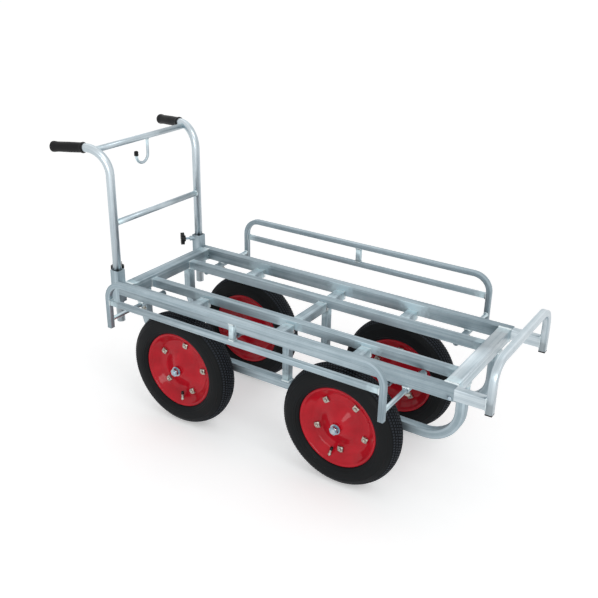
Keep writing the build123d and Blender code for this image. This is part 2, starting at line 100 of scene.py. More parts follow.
VALVE_STEM = ((-4, 0), (-4, 5.6), (1.5, 5.6), (3.0, 4.0), (9, 4.0), (9.5, 3.7), (12, 3.7), (12.5, 3.9),
              (15, 3.9), (15, 0))
DUST_CAP = ((14.5, 0), (14.5, 4.7), (22, 4.5), (24, 3.2), (24, 0))
RIM_NUT_COLLAR = ((8.8, 4.3), (8.8, 6.0), (9.6, 5.4), (9.6, 4.3))
RIM_BOLT_END = ((9.0, 0), (9.0, 4.0), (12.2, 4.0), (13.2, 3.0), (13.2, 0))
AXLE_COLLAR = ((135.7, 8.0), (135.7, 12.4), (135.1, 13.0), (116.6, 13.0), (116.0, 12.4), (116.0, 8.0))
AXLE_WASHER = ((202.4, 8.2), (202.4, 15.0), (205.2, 15.0), (205.2, 8.2))

# Nuts by their sides, the millimetres across their flats and how far round they are turned.
RIM_NUT = {"sides": 4, "flats": 16.0, "phase": math.pi / 4}
AXLE_NUT = {"sides": 6, "flats": 22.0, "phase": 0.3}

# A tyre's tread band: its radius, how far it falls for each millimetre aside, squared, and where it is drawn.
BAND_RADIUS = 173.9
BAND_CROWN = 0.0109
BAND_STATIONS = (0.0, 6.0, 12.0, 18.0, 24.0, 28.0)


def linear(colour):
    """Turns an sRGB hex colour to linear RGBA."""
    channels = [int(colour[i:i + 2], 16) / 255 for i in (1, 3, 5)]
    return tuple(c / 12.92 if c <= 0.04045 else ((c + 0.055) / 1.055) ** 2.4 for c in channels) + (1.0,)


def per_mm(size):
    """The texture scale at which one feature is this many millimetres."""
    return 1000.0 / size


def add(tree, kind, inputs=None, **settings):
    """Adds a node with its settings, and fills its inputs with values or links."""
    node = tree.nodes.new(kind)
    for name, value in settings.items():
        setattr(node, name, value)
    for key, value in (inputs or {}).items():
        if isinstance(value, bpy.types.NodeSocket):
            tree.links.new(value, node.inputs[key])
        else:
            node.inputs[key].default_value = value
    return node


def surface(name, **values):
    """Starts a material: its tree, its shader and the object's coordinates."""
    material = bpy.data.materials.new(name)
    material.use_nodes = True
    tree = material.node_tree
    shader = tree.nodes["Principled BSDF"]
    for key, value in values.items():
        shader.inputs[key.replace("_", " ")].default_value = value
    place = add(tree, "ShaderNodeTexCoord").outputs["Object"]
    return material, tree, shader, place


def link_finish(tree, shader, colour, rough, bump):
    """Links a shader's colour, roughness and bump."""
    for key, link in (("Base Color", colour), ("Roughness", rough), ("Normal", bump)):
        tree.links.new(link, shader.inputs[key])


def joint_distance(tree, place, joints, between):
    """The distance along X to the next of these joints, each given by its two ends. It holds on faces between
    two distances from the cart's middle, and elsewhere it is a metre more."""
    spot = add(tree, "ShaderNodeSeparateXYZ", {0: place}).outputs
    aside = add(tree, "ShaderNodeMath", {0: spot["Y"]}, operation="ABSOLUTE").outputs[0]
    inner, outer = between
    is_between = add(tree, "ShaderNodeMath", {0: aside, 1: (inner + outer) / 2, 2: (outer - inner) / 2},
                     operation="COMPARE").outputs[0]
    extra = add(tree, "ShaderNodeMath", {0: 1.0, 1: is_between}, operation="SUBTRACT").outputs[0]
    gaps = []
    for low, high in joints:
        off = add(tree, "ShaderNodeMath", {0: spot["X"], 1: (low + high) / 2},
                  operation="SUBTRACT").outputs[0]
        size = add(tree, "ShaderNodeMath", {0: off}, operation="ABSOLUTE").outputs[0]
        gaps.append(add(tree, "ShaderNodeMath", {0: size, 1: (high - low) / 2},
                        operation="SUBTRACT").outputs[0])
    nearest = gaps[0]
    for gap in gaps[1:]:
        nearest = add(tree, "ShaderNodeMath", {0: nearest, 1: gap}, operation="MINIMUM").outputs[0]
    return add(tree, "ShaderNodeMath", {0: extra, 1: nearest}, operation="ADD").outputs[0]


def tube_metal(name, dark, pale, brushed, metallic, dull, keen, joints=(), between=(0.0, 0.0)):
    """Aluminium tube with drawn lines, in two tones and from a dull to a keen sheen, brushed at its welds."""
    material, tree, shader, place = surface(name, Metallic=metallic)
    along = add(tree, "ShaderNodeAttribute", attribute_name="tube_uv").outputs["Vector"]
    # Real drawn lines are finer than a picture shows. Streaks of 2.4 mm and their octaves stand for them.
    lines = add(tree, "ShaderNodeMapping", {"Vector": along, "Scale": (per_mm(2.4), per_mm(240), 1.0)})
    drawn = add(tree, "ShaderNodeTexNoise", {"Vector": lines.outputs[0], "Scale": 1.0, "Detail": 3.0,
                                             "Roughness": 0.6}).outputs["Fac"]
    # The die leaves broader bands too, about 9 mm wide.
    bands = add(tree, "ShaderNodeMapping", {"Vector": along, "Scale": (per_mm(9), per_mm(600), 1.0)})
    banded = add(tree, "ShaderNodeTexNoise", {"Vector": bands.outputs[0], "Scale": 1.0,
                                              "Detail": 1.0}).outputs["Fac"]
    streaks = add(tree, "ShaderNodeMix", {"Factor": 0.5, MIX_A: drawn, MIX_B: banded}).outputs[0]
    cloud = add(tree, "ShaderNodeTexNoise", {"Vector": place, "Scale": per_mm(45), "Detail": 4.0,
                                             "Roughness": 0.6}).outputs["Fac"]
    grain = add(tree, "ShaderNodeTexNoise", {"Vector": place, "Scale": per_mm(2.5),
                                             "Detail": 2.0}).outputs["Fac"]
    both = add(tree, "ShaderNodeMix", {"Factor": 0.2, MIX_A: streaks, MIX_B: cloud}).outputs[0]
    tone = add(tree, "ShaderNodeMapRange", {"Value": both, "From Min": 0.32, "From Max": 0.68}).outputs[0]
    plain = add(tree, "ShaderNodeMix", {"Factor": tone, COLOUR_A: dark, COLOUR_B: pale},
                data_type="RGBA").outputs[MIXED_COLOUR]
    # Wire brushing leaves a ragged pale zone, about 30 mm long, at each weld.
    route = add(tree, "ShaderNodeSeparateXYZ", {0: along}).outputs
    rest = add(tree, "ShaderNodeMath", {0: route["Z"], 1: route["Y"]}, operation="SUBTRACT").outputs[0]
    near = add(tree, "ShaderNodeMath", {0: route["Y"], 1: rest}, operation="MINIMUM").outputs[0]
    if joints:
        near = add(tree, "ShaderNodeMath", {0: near, 1: joint_distance(tree, place, joints, between)},
                   operation="MINIMUM").outputs[0]
    blots = add(tree, "ShaderNodeTexNoise", {"Vector": place, "Scale": per_mm(11),
                                             "Detail": 3.0}).outputs["Fac"]
    ragged = add(tree, "ShaderNodeMath", {0: blots, 1: 36 * MM, 2: near}, operation="MULTIPLY_ADD").outputs[0]
    zone = add(tree, "ShaderNodeMapRange", {"Value": ragged, "From Min": 52 * MM,
                                            "From Max": 28 * MM}).outputs[0]
    is_tube = add(tree, "ShaderNodeMath", {0: route["Z"], 1: 1 * MM}, operation="GREATER_THAN").outputs[0]
    share = add(tree, "ShaderNodeMath", {0: zone, 1: is_tube}, operation="MULTIPLY").outputs[0]
    colour = add(tree, "ShaderNodeMix", {"Factor": share, COLOUR_A: plain, COLOUR_B: brushed},
                 data_type="RGBA").outputs[MIXED_COLOUR]
    rough = add(tree, "ShaderNodeMapRange", {"Value": both, "From Min": 0.34, "From Max": 0.66,
                                             "To Min": dull, "To Max": keen}).outputs[0]
    height = add(tree, "ShaderNodeMath", {0: drawn, 1: grain}, operation="ADD").outputs[0]
    bump = add(tree, "ShaderNodeBump", {"Height": height, "Strength": 0.12, "Distance": 0.2 * MM}).outputs[0]
    link_finish(tree, shader, colour, rough, bump)
    return material


# Mill tube keeps a thick skin of oxide that scatters part of the light, so it isn't all metal.
MILL_SHEEN = {"metallic": 0.82, "dull": 0.64, "keen": 0.5}


def satin_mill_aluminium(colours):
    # Extruded box tube left as it came from the mill: cool grey, a dull broad sheen, lines along the tube.
    return tube_metal("satin_mill_aluminium", colours.aluminium_dark, colours.aluminium_pale,
                      colours.aluminium_brushed, **MILL_SHEEN)


def brushed_rail_aluminium(colours):
    # The deck's rails: the same mill tube, wire brushed in pale patches where the ties are welded on.
    joints = sorted({(round(low.x, 4), round(high.x, 4)) for low, high in solids("side_ties")})
    margin = 1 * MM
    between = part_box("inner_rail_left")[1].y - margin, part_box("outer_rail_left")[0].y + margin
    return tube_metal("brushed_rail_aluminium", colours.aluminium_dark, colours.aluminium_pale,
                      colours.rail_brushed, joints=joints, between=between, **MILL_SHEEN)


def bright_drawn_aluminium(colours):
    # Drawn tube with a keener sheen than the deck. Its paler tones are partly its own skin and partly painted
    # highlight, a lit copy of the deck's tube; on the front cross tube they are painted highlight only.
    return tube_metal("bright_drawn_aluminium", colours.bright_dark, colours.bright_pale,
                      colours.aluminium_brushed, metallic=1.0, dull=0.42, keen=0.28)


def weld_bead_aluminium(colours):
    # Filler metal frozen in ripples: brighter and glossier than the tube, in patches of duller skin.
    material, tree, shader, place = surface("weld_bead_aluminium", Metallic=1.0)
    spots = add(tree, "ShaderNodeTexNoise", {"Vector": place, "Scale": per_mm(7),
                                             "Detail": 3.0}).outputs["Fac"]
    colour = add(tree, "ShaderNodeMix", {
        "Factor": spots, COLOUR_A: colours.weld_dark, COLOUR_B: colours.weld_pale},
        data_type="RGBA").outputs[MIXED_COLOUR]
    rough = add(tree, "ShaderNodeMapRange", {"Value": spots, "From Min": 0.3, "From Max": 0.7,
                                             "To Min": 0.22, "To Max": 0.42}).outputs[0]
    bump = add(tree, "ShaderNodeBump", {"Height": spots, "Strength": 0.2, "Distance": 0.4 * MM}).outputs[0]
    link_finish(tree, shader, colour, rough, bump)
    return material


def zinc_metal(name, cold, warm, dull, keen):
    """Zinc plating in patches of two tints, with a dull to a keen sheen."""
    material, tree, shader, place = surface(name, Metallic=1.0)
    bloom = add(tree, "ShaderNodeTexNoise", {"Vector": place, "Scale": per_mm(9),
                                             "Detail": 4.0}).outputs["Fac"]
    tone = add(tree, "ShaderNodeMapRange", {"Value": bloom, "From Min": 0.35, "From Max": 0.65}).outputs[0]
    colour = add(tree, "ShaderNodeMix", {"Factor": tone, COLOUR_A: cold, COLOUR_B: warm},
                 data_type="RGBA").outputs[MIXED_COLOUR]
    rough = add(tree, "ShaderNodeMapRange", {"Value": bloom, "From Min": 0.3, "From Max": 0.7,
                                             "To Min": dull, "To Max": keen}).outputs[0]
    bump = add(tree, "ShaderNodeBump", {"Height": bloom, "Strength": 0.12, "Distance": 0.2 * MM}).outputs[0]
    link_finish(tree, shader, colour, rough, bump)
    return material


def blue_zinc_steel(colours):
    # Fresh zinc over turned steel: a cold blue brightness with a faint grey bloom.
    return zinc_metal("blue_zinc_steel", colours.zinc_blue, colours.zinc_pale, dull=0.36, keen=0.2)


def dulled_zinc_steel(colours):
    # Zinc on rolled nuts that has stood in damp air: a warm grey with a straw tint and little sheen.
    return zinc_metal("dulled_zinc_steel", colours.zinc_grey, colours.zinc_straw, dull=0.5, keen=0.34)


def vulcanised_tyre_rubber(colours):
    # Moulded rubber with carbon black: near black, a waxy grey bloom and fine pores. The greyer tread tops
    # are a painted highlight, for the light that catches the blocks' tops.
    material, tree, shader, place = surface(
        "vulcanised_tyre_rubber", Specular_IOR_Level=0.15, Sheen_Weight=0.04, Sheen_Roughness=0.4,
        Sheen_Tint=colours.rubber_sheen)
    bloom = add(tree, "ShaderNodeTexNoise", {"Vector": place, "Scale": per_mm(38), "Detail": 5.0,
                                             "Roughness": 0.6}).outputs["Fac"]
    pores = add(tree, "ShaderNodeTexNoise", {"Vector": place, "Scale": per_mm(1.2),
                                             "Detail": 2.0}).outputs["Fac"]
    tone = add(tree, "ShaderNodeMapRange", {"Value": bloom, "From Min": 0.35, "From Max": 0.72}).outputs[0]
    fresh = add(tree, "ShaderNodeMix", {
        "Factor": tone, COLOUR_A: colours.rubber_black, COLOUR_B: colours.rubber_bloom},
        data_type="RGBA").outputs[MIXED_COLOUR]
    # Painted highlight: the tread blocks' top faces are drawn greyer, for the light that falls on them.
    lit_tops = add(tree, "ShaderNodeAttribute", attribute_name="tread_top").outputs["Fac"]
    colour = add(tree, "ShaderNodeMix", {"Factor": lit_tops, COLOUR_A: fresh, COLOUR_B: colours.rubber_tread_highlight},
                 data_type="RGBA").outputs[MIXED_COLOUR]
    rough = add(tree, "ShaderNodeMapRange", {"Value": bloom, "From Min": 0.3, "From Max": 0.7,
                                             "To Min": 0.5, "To Max": 0.7}).outputs[0]
    bump = add(tree, "ShaderNodeBump", {"Height": pores, "Strength": 0.12, "Distance": 0.25 * MM}).outputs[0]
    link_finish(tree, shader, colour, rough, bump)
    return material


def stoved_red_enamel(colours):
    # Enamel sprayed and stoved on pressed steel: deep gloss red with orange peel, in places a duller film.
    material, tree, shader, place = surface(
        "stoved_red_enamel", Specular_IOR_Level=0.05, Coat_Weight=0.36, Coat_Roughness=0.05)
    film = add(tree, "ShaderNodeTexNoise", {"Vector": place, "Scale": per_mm(60),
                                            "Detail": 4.0}).outputs["Fac"]
    peel = add(tree, "ShaderNodeTexNoise", {"Vector": place, "Scale": per_mm(3.0),
                                            "Detail": 1.0}).outputs["Fac"]
    tone = add(tree, "ShaderNodeMapRange", {"Value": film, "From Min": 0.35, "From Max": 0.7}).outputs[0]
    colour = add(tree, "ShaderNodeMix", {
        "Factor": tone, COLOUR_A: colours.enamel_red, COLOUR_B: colours.enamel_deep},
        data_type="RGBA").outputs[MIXED_COLOUR]
    rough = add(tree, "ShaderNodeMapRange", {"Value": film, "From Min": 0.3, "From Max": 0.7,
                                             "To Min": 0.26, "To Max": 0.4}).outputs[0]
    bump = add(tree, "ShaderNodeBump", {"Height": peel, "Strength": 0.06, "Distance": 0.3 * MM}).outputs[0]
    link_finish(tree, shader, colour, rough, bump)
    return material


def dipped_grip_rubber(colours):
    # Soft handle rubber: black with a satin skin, slightly greyed where hands rub it.
    material, tree, shader, place = surface("dipped_grip_rubber", Specular_IOR_Level=0.22)
    rub = add(tree, "ShaderNodeTexNoise", {"Vector": place, "Scale": per_mm(22),
                                           "Detail": 4.0}).outputs["Fac"]
    skin = add(tree, "ShaderNodeTexNoise", {"Vector": place, "Scale": per_mm(0.9),
                                            "Detail": 2.0}).outputs["Fac"]
    tone = add(tree, "ShaderNodeMapRange", {"Value": rub, "From Min": 0.35, "From Max": 0.75}).outputs[0]
    colour = add(tree, "ShaderNodeMix", {
        "Factor": tone, COLOUR_A: colours.grip_black, COLOUR_B: colours.grip_grey},
        data_type="RGBA").outputs[MIXED_COLOUR]
    rough = add(tree, "ShaderNodeMapRange", {"Value": rub, "From Min": 0.3, "From Max": 0.7,
                                             "To Min": 0.4, "To Max": 0.58}).outputs[0]
    bump = add(tree, "ShaderNodeBump", {"Height": skin, "Strength": 0.15, "Distance": 0.2 * MM}).outputs[0]
    link_finish(tree, shader, colour, rough, bump)
    return material


def moulded_black_nylon(colours):
    # Glass-filled nylon from a spark-eroded mould: black with a fine grained, slightly glossy skin.
    material, tree, shader, place = surface("moulded_black_nylon", Specular_IOR_Level=0.3)
    flow = add(tree, "ShaderNodeTexNoise", {"Vector": place, "Scale": per_mm(14),
                                            "Detail": 3.0}).outputs["Fac"]
    skin = add(tree, "ShaderNodeTexNoise", {"Vector": place, "Scale": per_mm(0.8),
                                            "Detail": 2.0}).outputs["Fac"]
    colour = add(tree, "ShaderNodeMix", {
        "Factor": flow, COLOUR_A: colours.nylon_black, COLOUR_B: colours.nylon_grey},
        data_type="RGBA").outputs[MIXED_COLOUR]
    rough = add(tree, "ShaderNodeMapRange", {"Value": flow, "From Min": 0.3, "From Max": 0.7,
                                             "To Min": 0.34, "To Max": 0.5}).outputs[0]
    bump = add(tree, "ShaderNodeBump", {"Height": skin, "Strength": 0.2, "Distance": 0.2 * MM}).outputs[0]
    link_finish(tree, shader, colour, rough, bump)
    return material


MATERIALS = {maker.__name__: maker for maker in (
    satin_mill_aluminium, brushed_rail_aluminium, bright_drawn_aluminium, weld_bead_aluminium,
    blue_zinc_steel, dulled_zinc_steel, vulcanised_tyre_rubber, stoved_red_enamel, dipped_grip_rubber,
    moulded_black_nylon)}
SLOTS = {
    "aluminium_tube": "satin_mill_aluminium", "zinc_steel": "blue_zinc_steel",
    "tyre_rubber": "vulcanised_tyre_rubber", "red_enamel": "stoved_red_enamel",
    "black_rubber": "dipped_grip_rubber", "black_plastic": "moulded_black_nylon",
}


def finish_of(context, name):
    """The material of this name, made when it is first asked for."""
    return bpy.data.materials.get(name) or MATERIALS[name](context.scene.cart_colours)


def seen_rays(tree):
    """One for rays from the camera, from gloss and through glass, and nought for the light on the cart."""
    rays = add(tree, "ShaderNodeLightPath").outputs
    seen = add(tree, "ShaderNodeMath", {0: rays["Is Camera Ray"], 1: rays["Is Glossy Ray"]},
               operation="MAXIMUM").outputs[0]
    return add(tree, "ShaderNodeMath", {0: seen, 1: rays["Is Transmission Ray"]},
               operation="MAXIMUM").outputs[0]


def matt_studio_paper(colours, lift):
    # Matt studio paper: plain white with the softest mottling. The lift is seen and lights nothing.
    material, tree, shader, place = surface(
        "matt_studio_paper", Roughness=0.9, Specular_IOR_Level=0.1, Emission_Color=WHITE)
    mottle = add(tree, "ShaderNodeTexNoise", {"Vector": place, "Scale": per_mm(300)}).outputs["Fac"]
    colour = add(tree, "ShaderNodeMix", {
        "Factor": mottle, COLOUR_A: colours.floor, COLOUR_B: colours.floor_pale},
        data_type="RGBA").outputs[MIXED_COLOUR]
    tree.links.new(colour, shader.inputs["Base Color"])
    shown = add(tree, "ShaderNodeMath", {0: seen_rays(tree), 1: lift}, operation="MULTIPLY").outputs[0]
    tree.links.new(shown, shader.inputs["Emission Strength"])
    return material


class CartSizes(bpy.types.PropertyGroup):
    wall: bpy.props.FloatProperty(
        name="Tube Wall", description="Wall of the aluminium tubes", default=2.0 * MM, unit="LENGTH")
    corner: bpy.props.FloatProperty(
        name="Tube Corner", description="Outer corner radius of box tubes", default=1.8 * MM, unit="LENGTH")
    underframe_bend: bpy.props.FloatProperty(
        name="Underframe Bend", description="Bend radius of the underframe tubes",
        default=92 * MM, unit="LENGTH")
    guard_bend: bpy.props.FloatProperty(
        name="Guard Bend", description="Bend radius of the side guards", default=50 * MM, unit="LENGTH")
    front_bend: bpy.props.FloatProperty(
        name="Front Bend", description="Bend radius of the front frame", default=52 * MM, unit="LENGTH")
    handle_bend: bpy.props.FloatProperty(
        name="Handle Bend", description="Bend radius of the handle tubes", default=72 * MM, unit="LENGTH")
    handle_flare: bpy.props.FloatProperty(
        name="Handle Flare", description="Angle at which the grips spread outwards",
        default=math.radians(12.5), subtype="ANGLE")
    handle_droop: bpy.props.FloatProperty(
        name="Handle Droop", description="Angle at which the grips fall below level",
        default=math.radians(4.0), subtype="ANGLE")
    handle_diameter: bpy.props.FloatProperty(
        name="Handle Diameter", description="Diameter of the handle tubes", default=25 * MM, unit="LENGTH")
    grip_end: bpy.props.FloatProperty(
        name="Grip End", description="Radius of a grip's flat end", default=12 * MM, unit="LENGTH")
    hook_depth: bpy.props.FloatProperty(
        name="Hook Depth", description="How far the hook goes into its cap", default=4 * MM, unit="LENGTH")
    rod_fit: bpy.props.FloatProperty(
        name="Rod Fit", description="Room round a guard rod in its sleeve", default=0.3 * MM, unit="LENGTH")
    guard_relief: bpy.props.FloatProperty(
        name="Guard Relief", description="How far the guard tubes' faces lie under their weld beads",
        default=0.5 * MM, unit="LENGTH")
    fillet_leg: bpy.props.FloatProperty(
        name="Fillet Leg", description="Reach of a weld bead in a corner", default=3.6 * MM, unit="LENGTH")
    slight_leg: bpy.props.FloatProperty(
        name="Slight Leg", description="Reach of a weld bead on the handle, guards and front frame",
        default=2.2 * MM, unit="LENGTH")
    butt_reach: bpy.props.FloatProperty(
        name="Butt Reach", description="Half width of a weld bead between level faces",
        default=6.0 * MM, unit="LENGTH")
    butt_rise: bpy.props.FloatProperty(
        name="Butt Rise", description="Height of a weld bead between level faces",
        default=1.2 * MM, unit="LENGTH")
    weld_pitch: bpy.props.FloatProperty(
        name="Weld Ripple", description="Spacing of the ripples in a weld bead",
        default=3.2 * MM, unit="LENGTH")
    tread_blocks: bpy.props.IntProperty(
        name="Tread Blocks", description="Tread blocks in one row round a tyre", default=132)
    tread_rows: bpy.props.IntProperty(
        name="Tread Rows", description="Rows of tread blocks across a tyre", default=7)
    tread_spacing: bpy.props.FloatProperty(
        name="Tread Spacing", description="Distance between two rows of tread blocks",
        default=8.2 * MM, unit="LENGTH")
    tread_depth: bpy.props.FloatProperty(
        name="Tread Depth", description="Height of the tread blocks", default=2.0 * MM, unit="LENGTH")
    bolt_count: bpy.props.IntProperty(
        name="Bolt Count", description="Bolts in one rim", default=5)
    bolt_circle: bpy.props.FloatProperty(
        name="Bolt Circle", description="Radius on which the rim bolts stand", default=77 * MM, unit="LENGTH")
    front_bolt_phase: bpy.props.FloatProperty(
        name="Front Bolt Phase", description="Angle of a front wheel's first bolt, from the front upwards",
        default=math.radians(56), subtype="ANGLE")
    rear_bolt_phase: bpy.props.FloatProperty(
        name="Rear Bolt Phase", description="Angle of a rear wheel's first bolt, from the front upwards",
        default=math.radians(80), subtype="ANGLE")
    valve_circle: bpy.props.FloatProperty(
        name="Valve Circle", description="Radius on which a valve's foot stands",
        default=100 * MM, unit="LENGTH")
    valve_offset: bpy.props.FloatProperty(
        name="Valve Offset", description="How far out from the wheel's middle a valve stands",
        default=15 * MM, unit="LENGTH")
    front_valve_phase: bpy.props.FloatProperty(
        name="Front Valve Phase", description="Angle of a front wheel's valve, from the front upwards",
        default=math.radians(-104), subtype="ANGLE")
    rear_valve_phase: bpy.props.FloatProperty(
        name="Rear Valve Phase", description="Angle of a rear wheel's valve, from the front upwards",
        default=math.radians(-88), subtype="ANGLE")


def swatch(name, description, colour):
    """A colour property from an sRGB hex value."""
    return bpy.props.FloatVectorProperty(
        name=name, description=description, default=linear(colour), size=4, min=0.0, max=1.0, subtype="COLOR")


class CartColours(bpy.types.PropertyGroup):
    aluminium_dark: swatch("Aluminium Dark", "Deck tube in its duller patches", "#7F919A")
    aluminium_pale: swatch("Aluminium Pale", "Deck tube in its brighter patches", "#B9C7CE")
    aluminium_brushed: swatch("Aluminium Brushed", "Tube where it is brushed for welding", "#CCDEE4")
    rail_brushed: swatch("Rail Brushed", "Rail where it is brushed for welding", "#C3D5DC")
    # The bright tones are partly the drawn tube's own and partly painted highlight, a lit copy of the deck's
    # tones.
    bright_dark: swatch("Bright Dark", "Handle and front frame tube in its duller patches", "#9DACB4")
    bright_pale: swatch("Bright Pale", "Handle and front frame tube in its brighter patches", "#D2DBE0")
    weld_dark: swatch("Weld Dark", "Weld bead in its duller ripples", "#B4C2C6")
    weld_pale: swatch("Weld Pale", "Weld bead in its bright ripples", "#E4ECEE")
    zinc_blue: swatch("Zinc Blue", "Fresh zinc plating", "#90A7B8")
    zinc_pale: swatch("Zinc Pale", "Fresh zinc plating with a bloom", "#B4BDC2")
    zinc_grey: swatch("Zinc Grey", "Dulled zinc plating", "#9C9C97")
    zinc_straw: swatch("Zinc Straw", "Dulled zinc plating where it is tinted", "#C2BDB1")
    rubber_black: swatch("Tyre Black", "Tyre rubber", "#090B0C")
    # Painted highlight on the tread tops, for the light that catches them.
    rubber_tread_highlight: swatch("Tyre Worn", "Tread blocks where the ground rubs them", "#2B2F35")
    rubber_bloom: swatch("Tyre Bloom", "Tyre rubber with a waxy bloom", "#111416")
    rubber_sheen: swatch("Tyre Sheen", "Sheen at the edges of the tyre rubber", "#8FA3D0")
    enamel_red: swatch("Enamel Red", "Rim enamel", "#BE1627")
    enamel_deep: swatch("Enamel Deep", "Rim enamel where it lies thicker", "#A41020")
    grip_black: swatch("Grip Black", "Grip rubber", "#090A0B")
    grip_grey: swatch("Grip Grey", "Grip rubber where it is rubbed", "#131417")
    nylon_black: swatch("Nylon Black", "Knob nylon", "#090A0B")
    nylon_grey: swatch("Nylon Grey", "Knob nylon in its paler flow", "#131416")
    floor: swatch("Floor", "Studio floor", "#F4F4F4")
    floor_pale: swatch("Floor Pale", "Studio floor in its paler mottling", "#F6F6F6")


class CartStage(bpy.types.PropertyGroup):
    camera_place: bpy.props.FloatVectorProperty(
        name="Camera Place", description="Where the camera stands", default=(1.1927, -1.8345, 1.3981),
        subtype="TRANSLATION", unit="LENGTH")
    camera_target: bpy.props.FloatVectorProperty(
        name="Camera Target", description="Point in the middle of the picture",
        default=(-0.0758, 0.1533, 0.330), subtype="TRANSLATION", unit="LENGTH")
    camera_roll: bpy.props.FloatProperty(
        name="Camera Roll", description="Turn of the camera about its own axis",
        default=math.radians(1.09), subtype="ANGLE")
    lens: bpy.props.FloatProperty(
        name="Lens", description="Focal length in millimetres", default=50.46, unit="CAMERA")
    sensor: bpy.props.FloatProperty(
        name="Sensor", description="Width of the camera's sensor in millimetres", default=36.0,
        unit="CAMERA")
    sky_level: bpy.props.FloatProperty(
        name="Sky Level", description="Soft light from all round on the cart", default=0.62)
    key_level: bpy.props.FloatProperty(
        name="Key Level", description="Strength of the main lamp", default=0.45)
    key_spread: bpy.props.FloatProperty(
        name="Key Spread", description="How wide the main lamp looks from the cart",
        default=math.radians(24), subtype="ANGLE")
    key_aim: bpy.props.FloatVectorProperty(
        name="Key Aim", description="Which way the main lamp shines", default=(-0.8, 0.35, -1.0),
        subtype="XYZ")
    back_level: bpy.props.FloatProperty(
        name="Back Level", description="Strength of the lamp behind the cart", default=0.2)
    back_spread: bpy.props.FloatProperty(
        name="Back Spread", description="How wide the lamp behind the cart looks from it",
        default=math.radians(50), subtype="ANGLE")
    back_aim: bpy.props.FloatVectorProperty(
        name="Back Aim", description="Which way the lamp behind the cart shines", default=(0.5, -0.8, -1.1),
        subtype="XYZ")
    softbox_power: bpy.props.FloatProperty(
        name="Softbox Power", description="Watts of the soft window in front of the cart", default=24.0,
        unit="POWER")
    softbox_size: bpy.props.FloatVectorProperty(
        name="Softbox Size", description="Width and height of the soft window", size=2, default=(1.7, 1.1),
        unit="LENGTH")
    softbox_place: bpy.props.FloatVectorProperty(
        name="Softbox Place", description="Where the soft window stands", default=(0.9, -3.1, 1.25),
        subtype="TRANSLATION", unit="LENGTH")
    softbox_target: bpy.props.FloatVectorProperty(
        name="Softbox Target", description="Point that the soft window faces", default=(0.1, 0.0, 0.3),
        subtype="TRANSLATION", unit="LENGTH")
    floor_reach: bpy.props.FloatProperty(
        name="Floor Reach", description="How far the floor reaches each way", default=40.0, unit="LENGTH")
    floor_lift: bpy.props.FloatProperty(
        name="Floor Lift", description="What brings the lit floor to white for the camera", default=0.31)


def unit(axis):
    """The vector of length one along an axis."""
    way = Vector(ORIGIN)
    way[axis] = 1.0
    return way


def way_out(name):
    """The sign along Y that leads out of the cart on the side that a name ends in."""
    return -1.0 if name.endswith("right") else 1.0


def centre_of(node):
    """The middle of a CAD node's box."""
    low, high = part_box(node)
    return (low + high) / 2


def solids(node):
    """The lowest and highest corner of each separate solid of a CAD node."""
    shape = bmesh.new()
    shape.from_mesh(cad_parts[node].data)
    bmesh.ops.remove_doubles(shape, verts=shape.verts[:], dist=SPECK)
    left = set(shape.verts)
    boxes = []
    while left:
        front = [left.pop()]
        members = []
        while front:
            vert = front.pop()
            members.append(vert.co.copy())
            for edge in vert.link_edges:
                other = edge.other_vert(vert)
                if other in left:
                    left.remove(other)
                    front.append(other)
        low = Vector(min(point[axis] for point in members) for axis in (X, Y, Z))
        high = Vector(max(point[axis] for point in members) for axis in (X, Y, Z))
        boxes.append((low, high))
    shape.free()
    return sorted(boxes, key=lambda box: tuple(round(value, 5) for value in (*box[0], *box[1])))


def new_tree(name, sizes):
    """A geometry node tree with named inputs, and the sockets that give them."""
    tree = bpy.data.node_groups.new(name, "GeometryNodeTree")
    tree.interface.new_socket("Geometry", in_out="INPUT", socket_type="NodeSocketGeometry")
    for label, (kind, default) in sizes.items():
        socket = tree.interface.new_socket(label, in_out="INPUT", socket_type="NodeSocket" + kind)
        if default is not None:
            socket.default_value = default
    tree.interface.new_socket("Geometry", in_out="OUTPUT", socket_type="NodeSocketGeometry")
    return tree, add(tree, "NodeGroupInput").outputs


def close_tree(tree, geometry, material):
    """Ends a tree in realised instances and a set material."""
    real = add(tree, "GeometryNodeRealizeInstances", {"Geometry": geometry}).outputs[0]
    coated = add(tree, "GeometryNodeSetMaterial", {"Geometry": real, "Material": material}).outputs[0]
    add(tree, "NodeGroupOutput", {"Geometry": coated})
    return tree


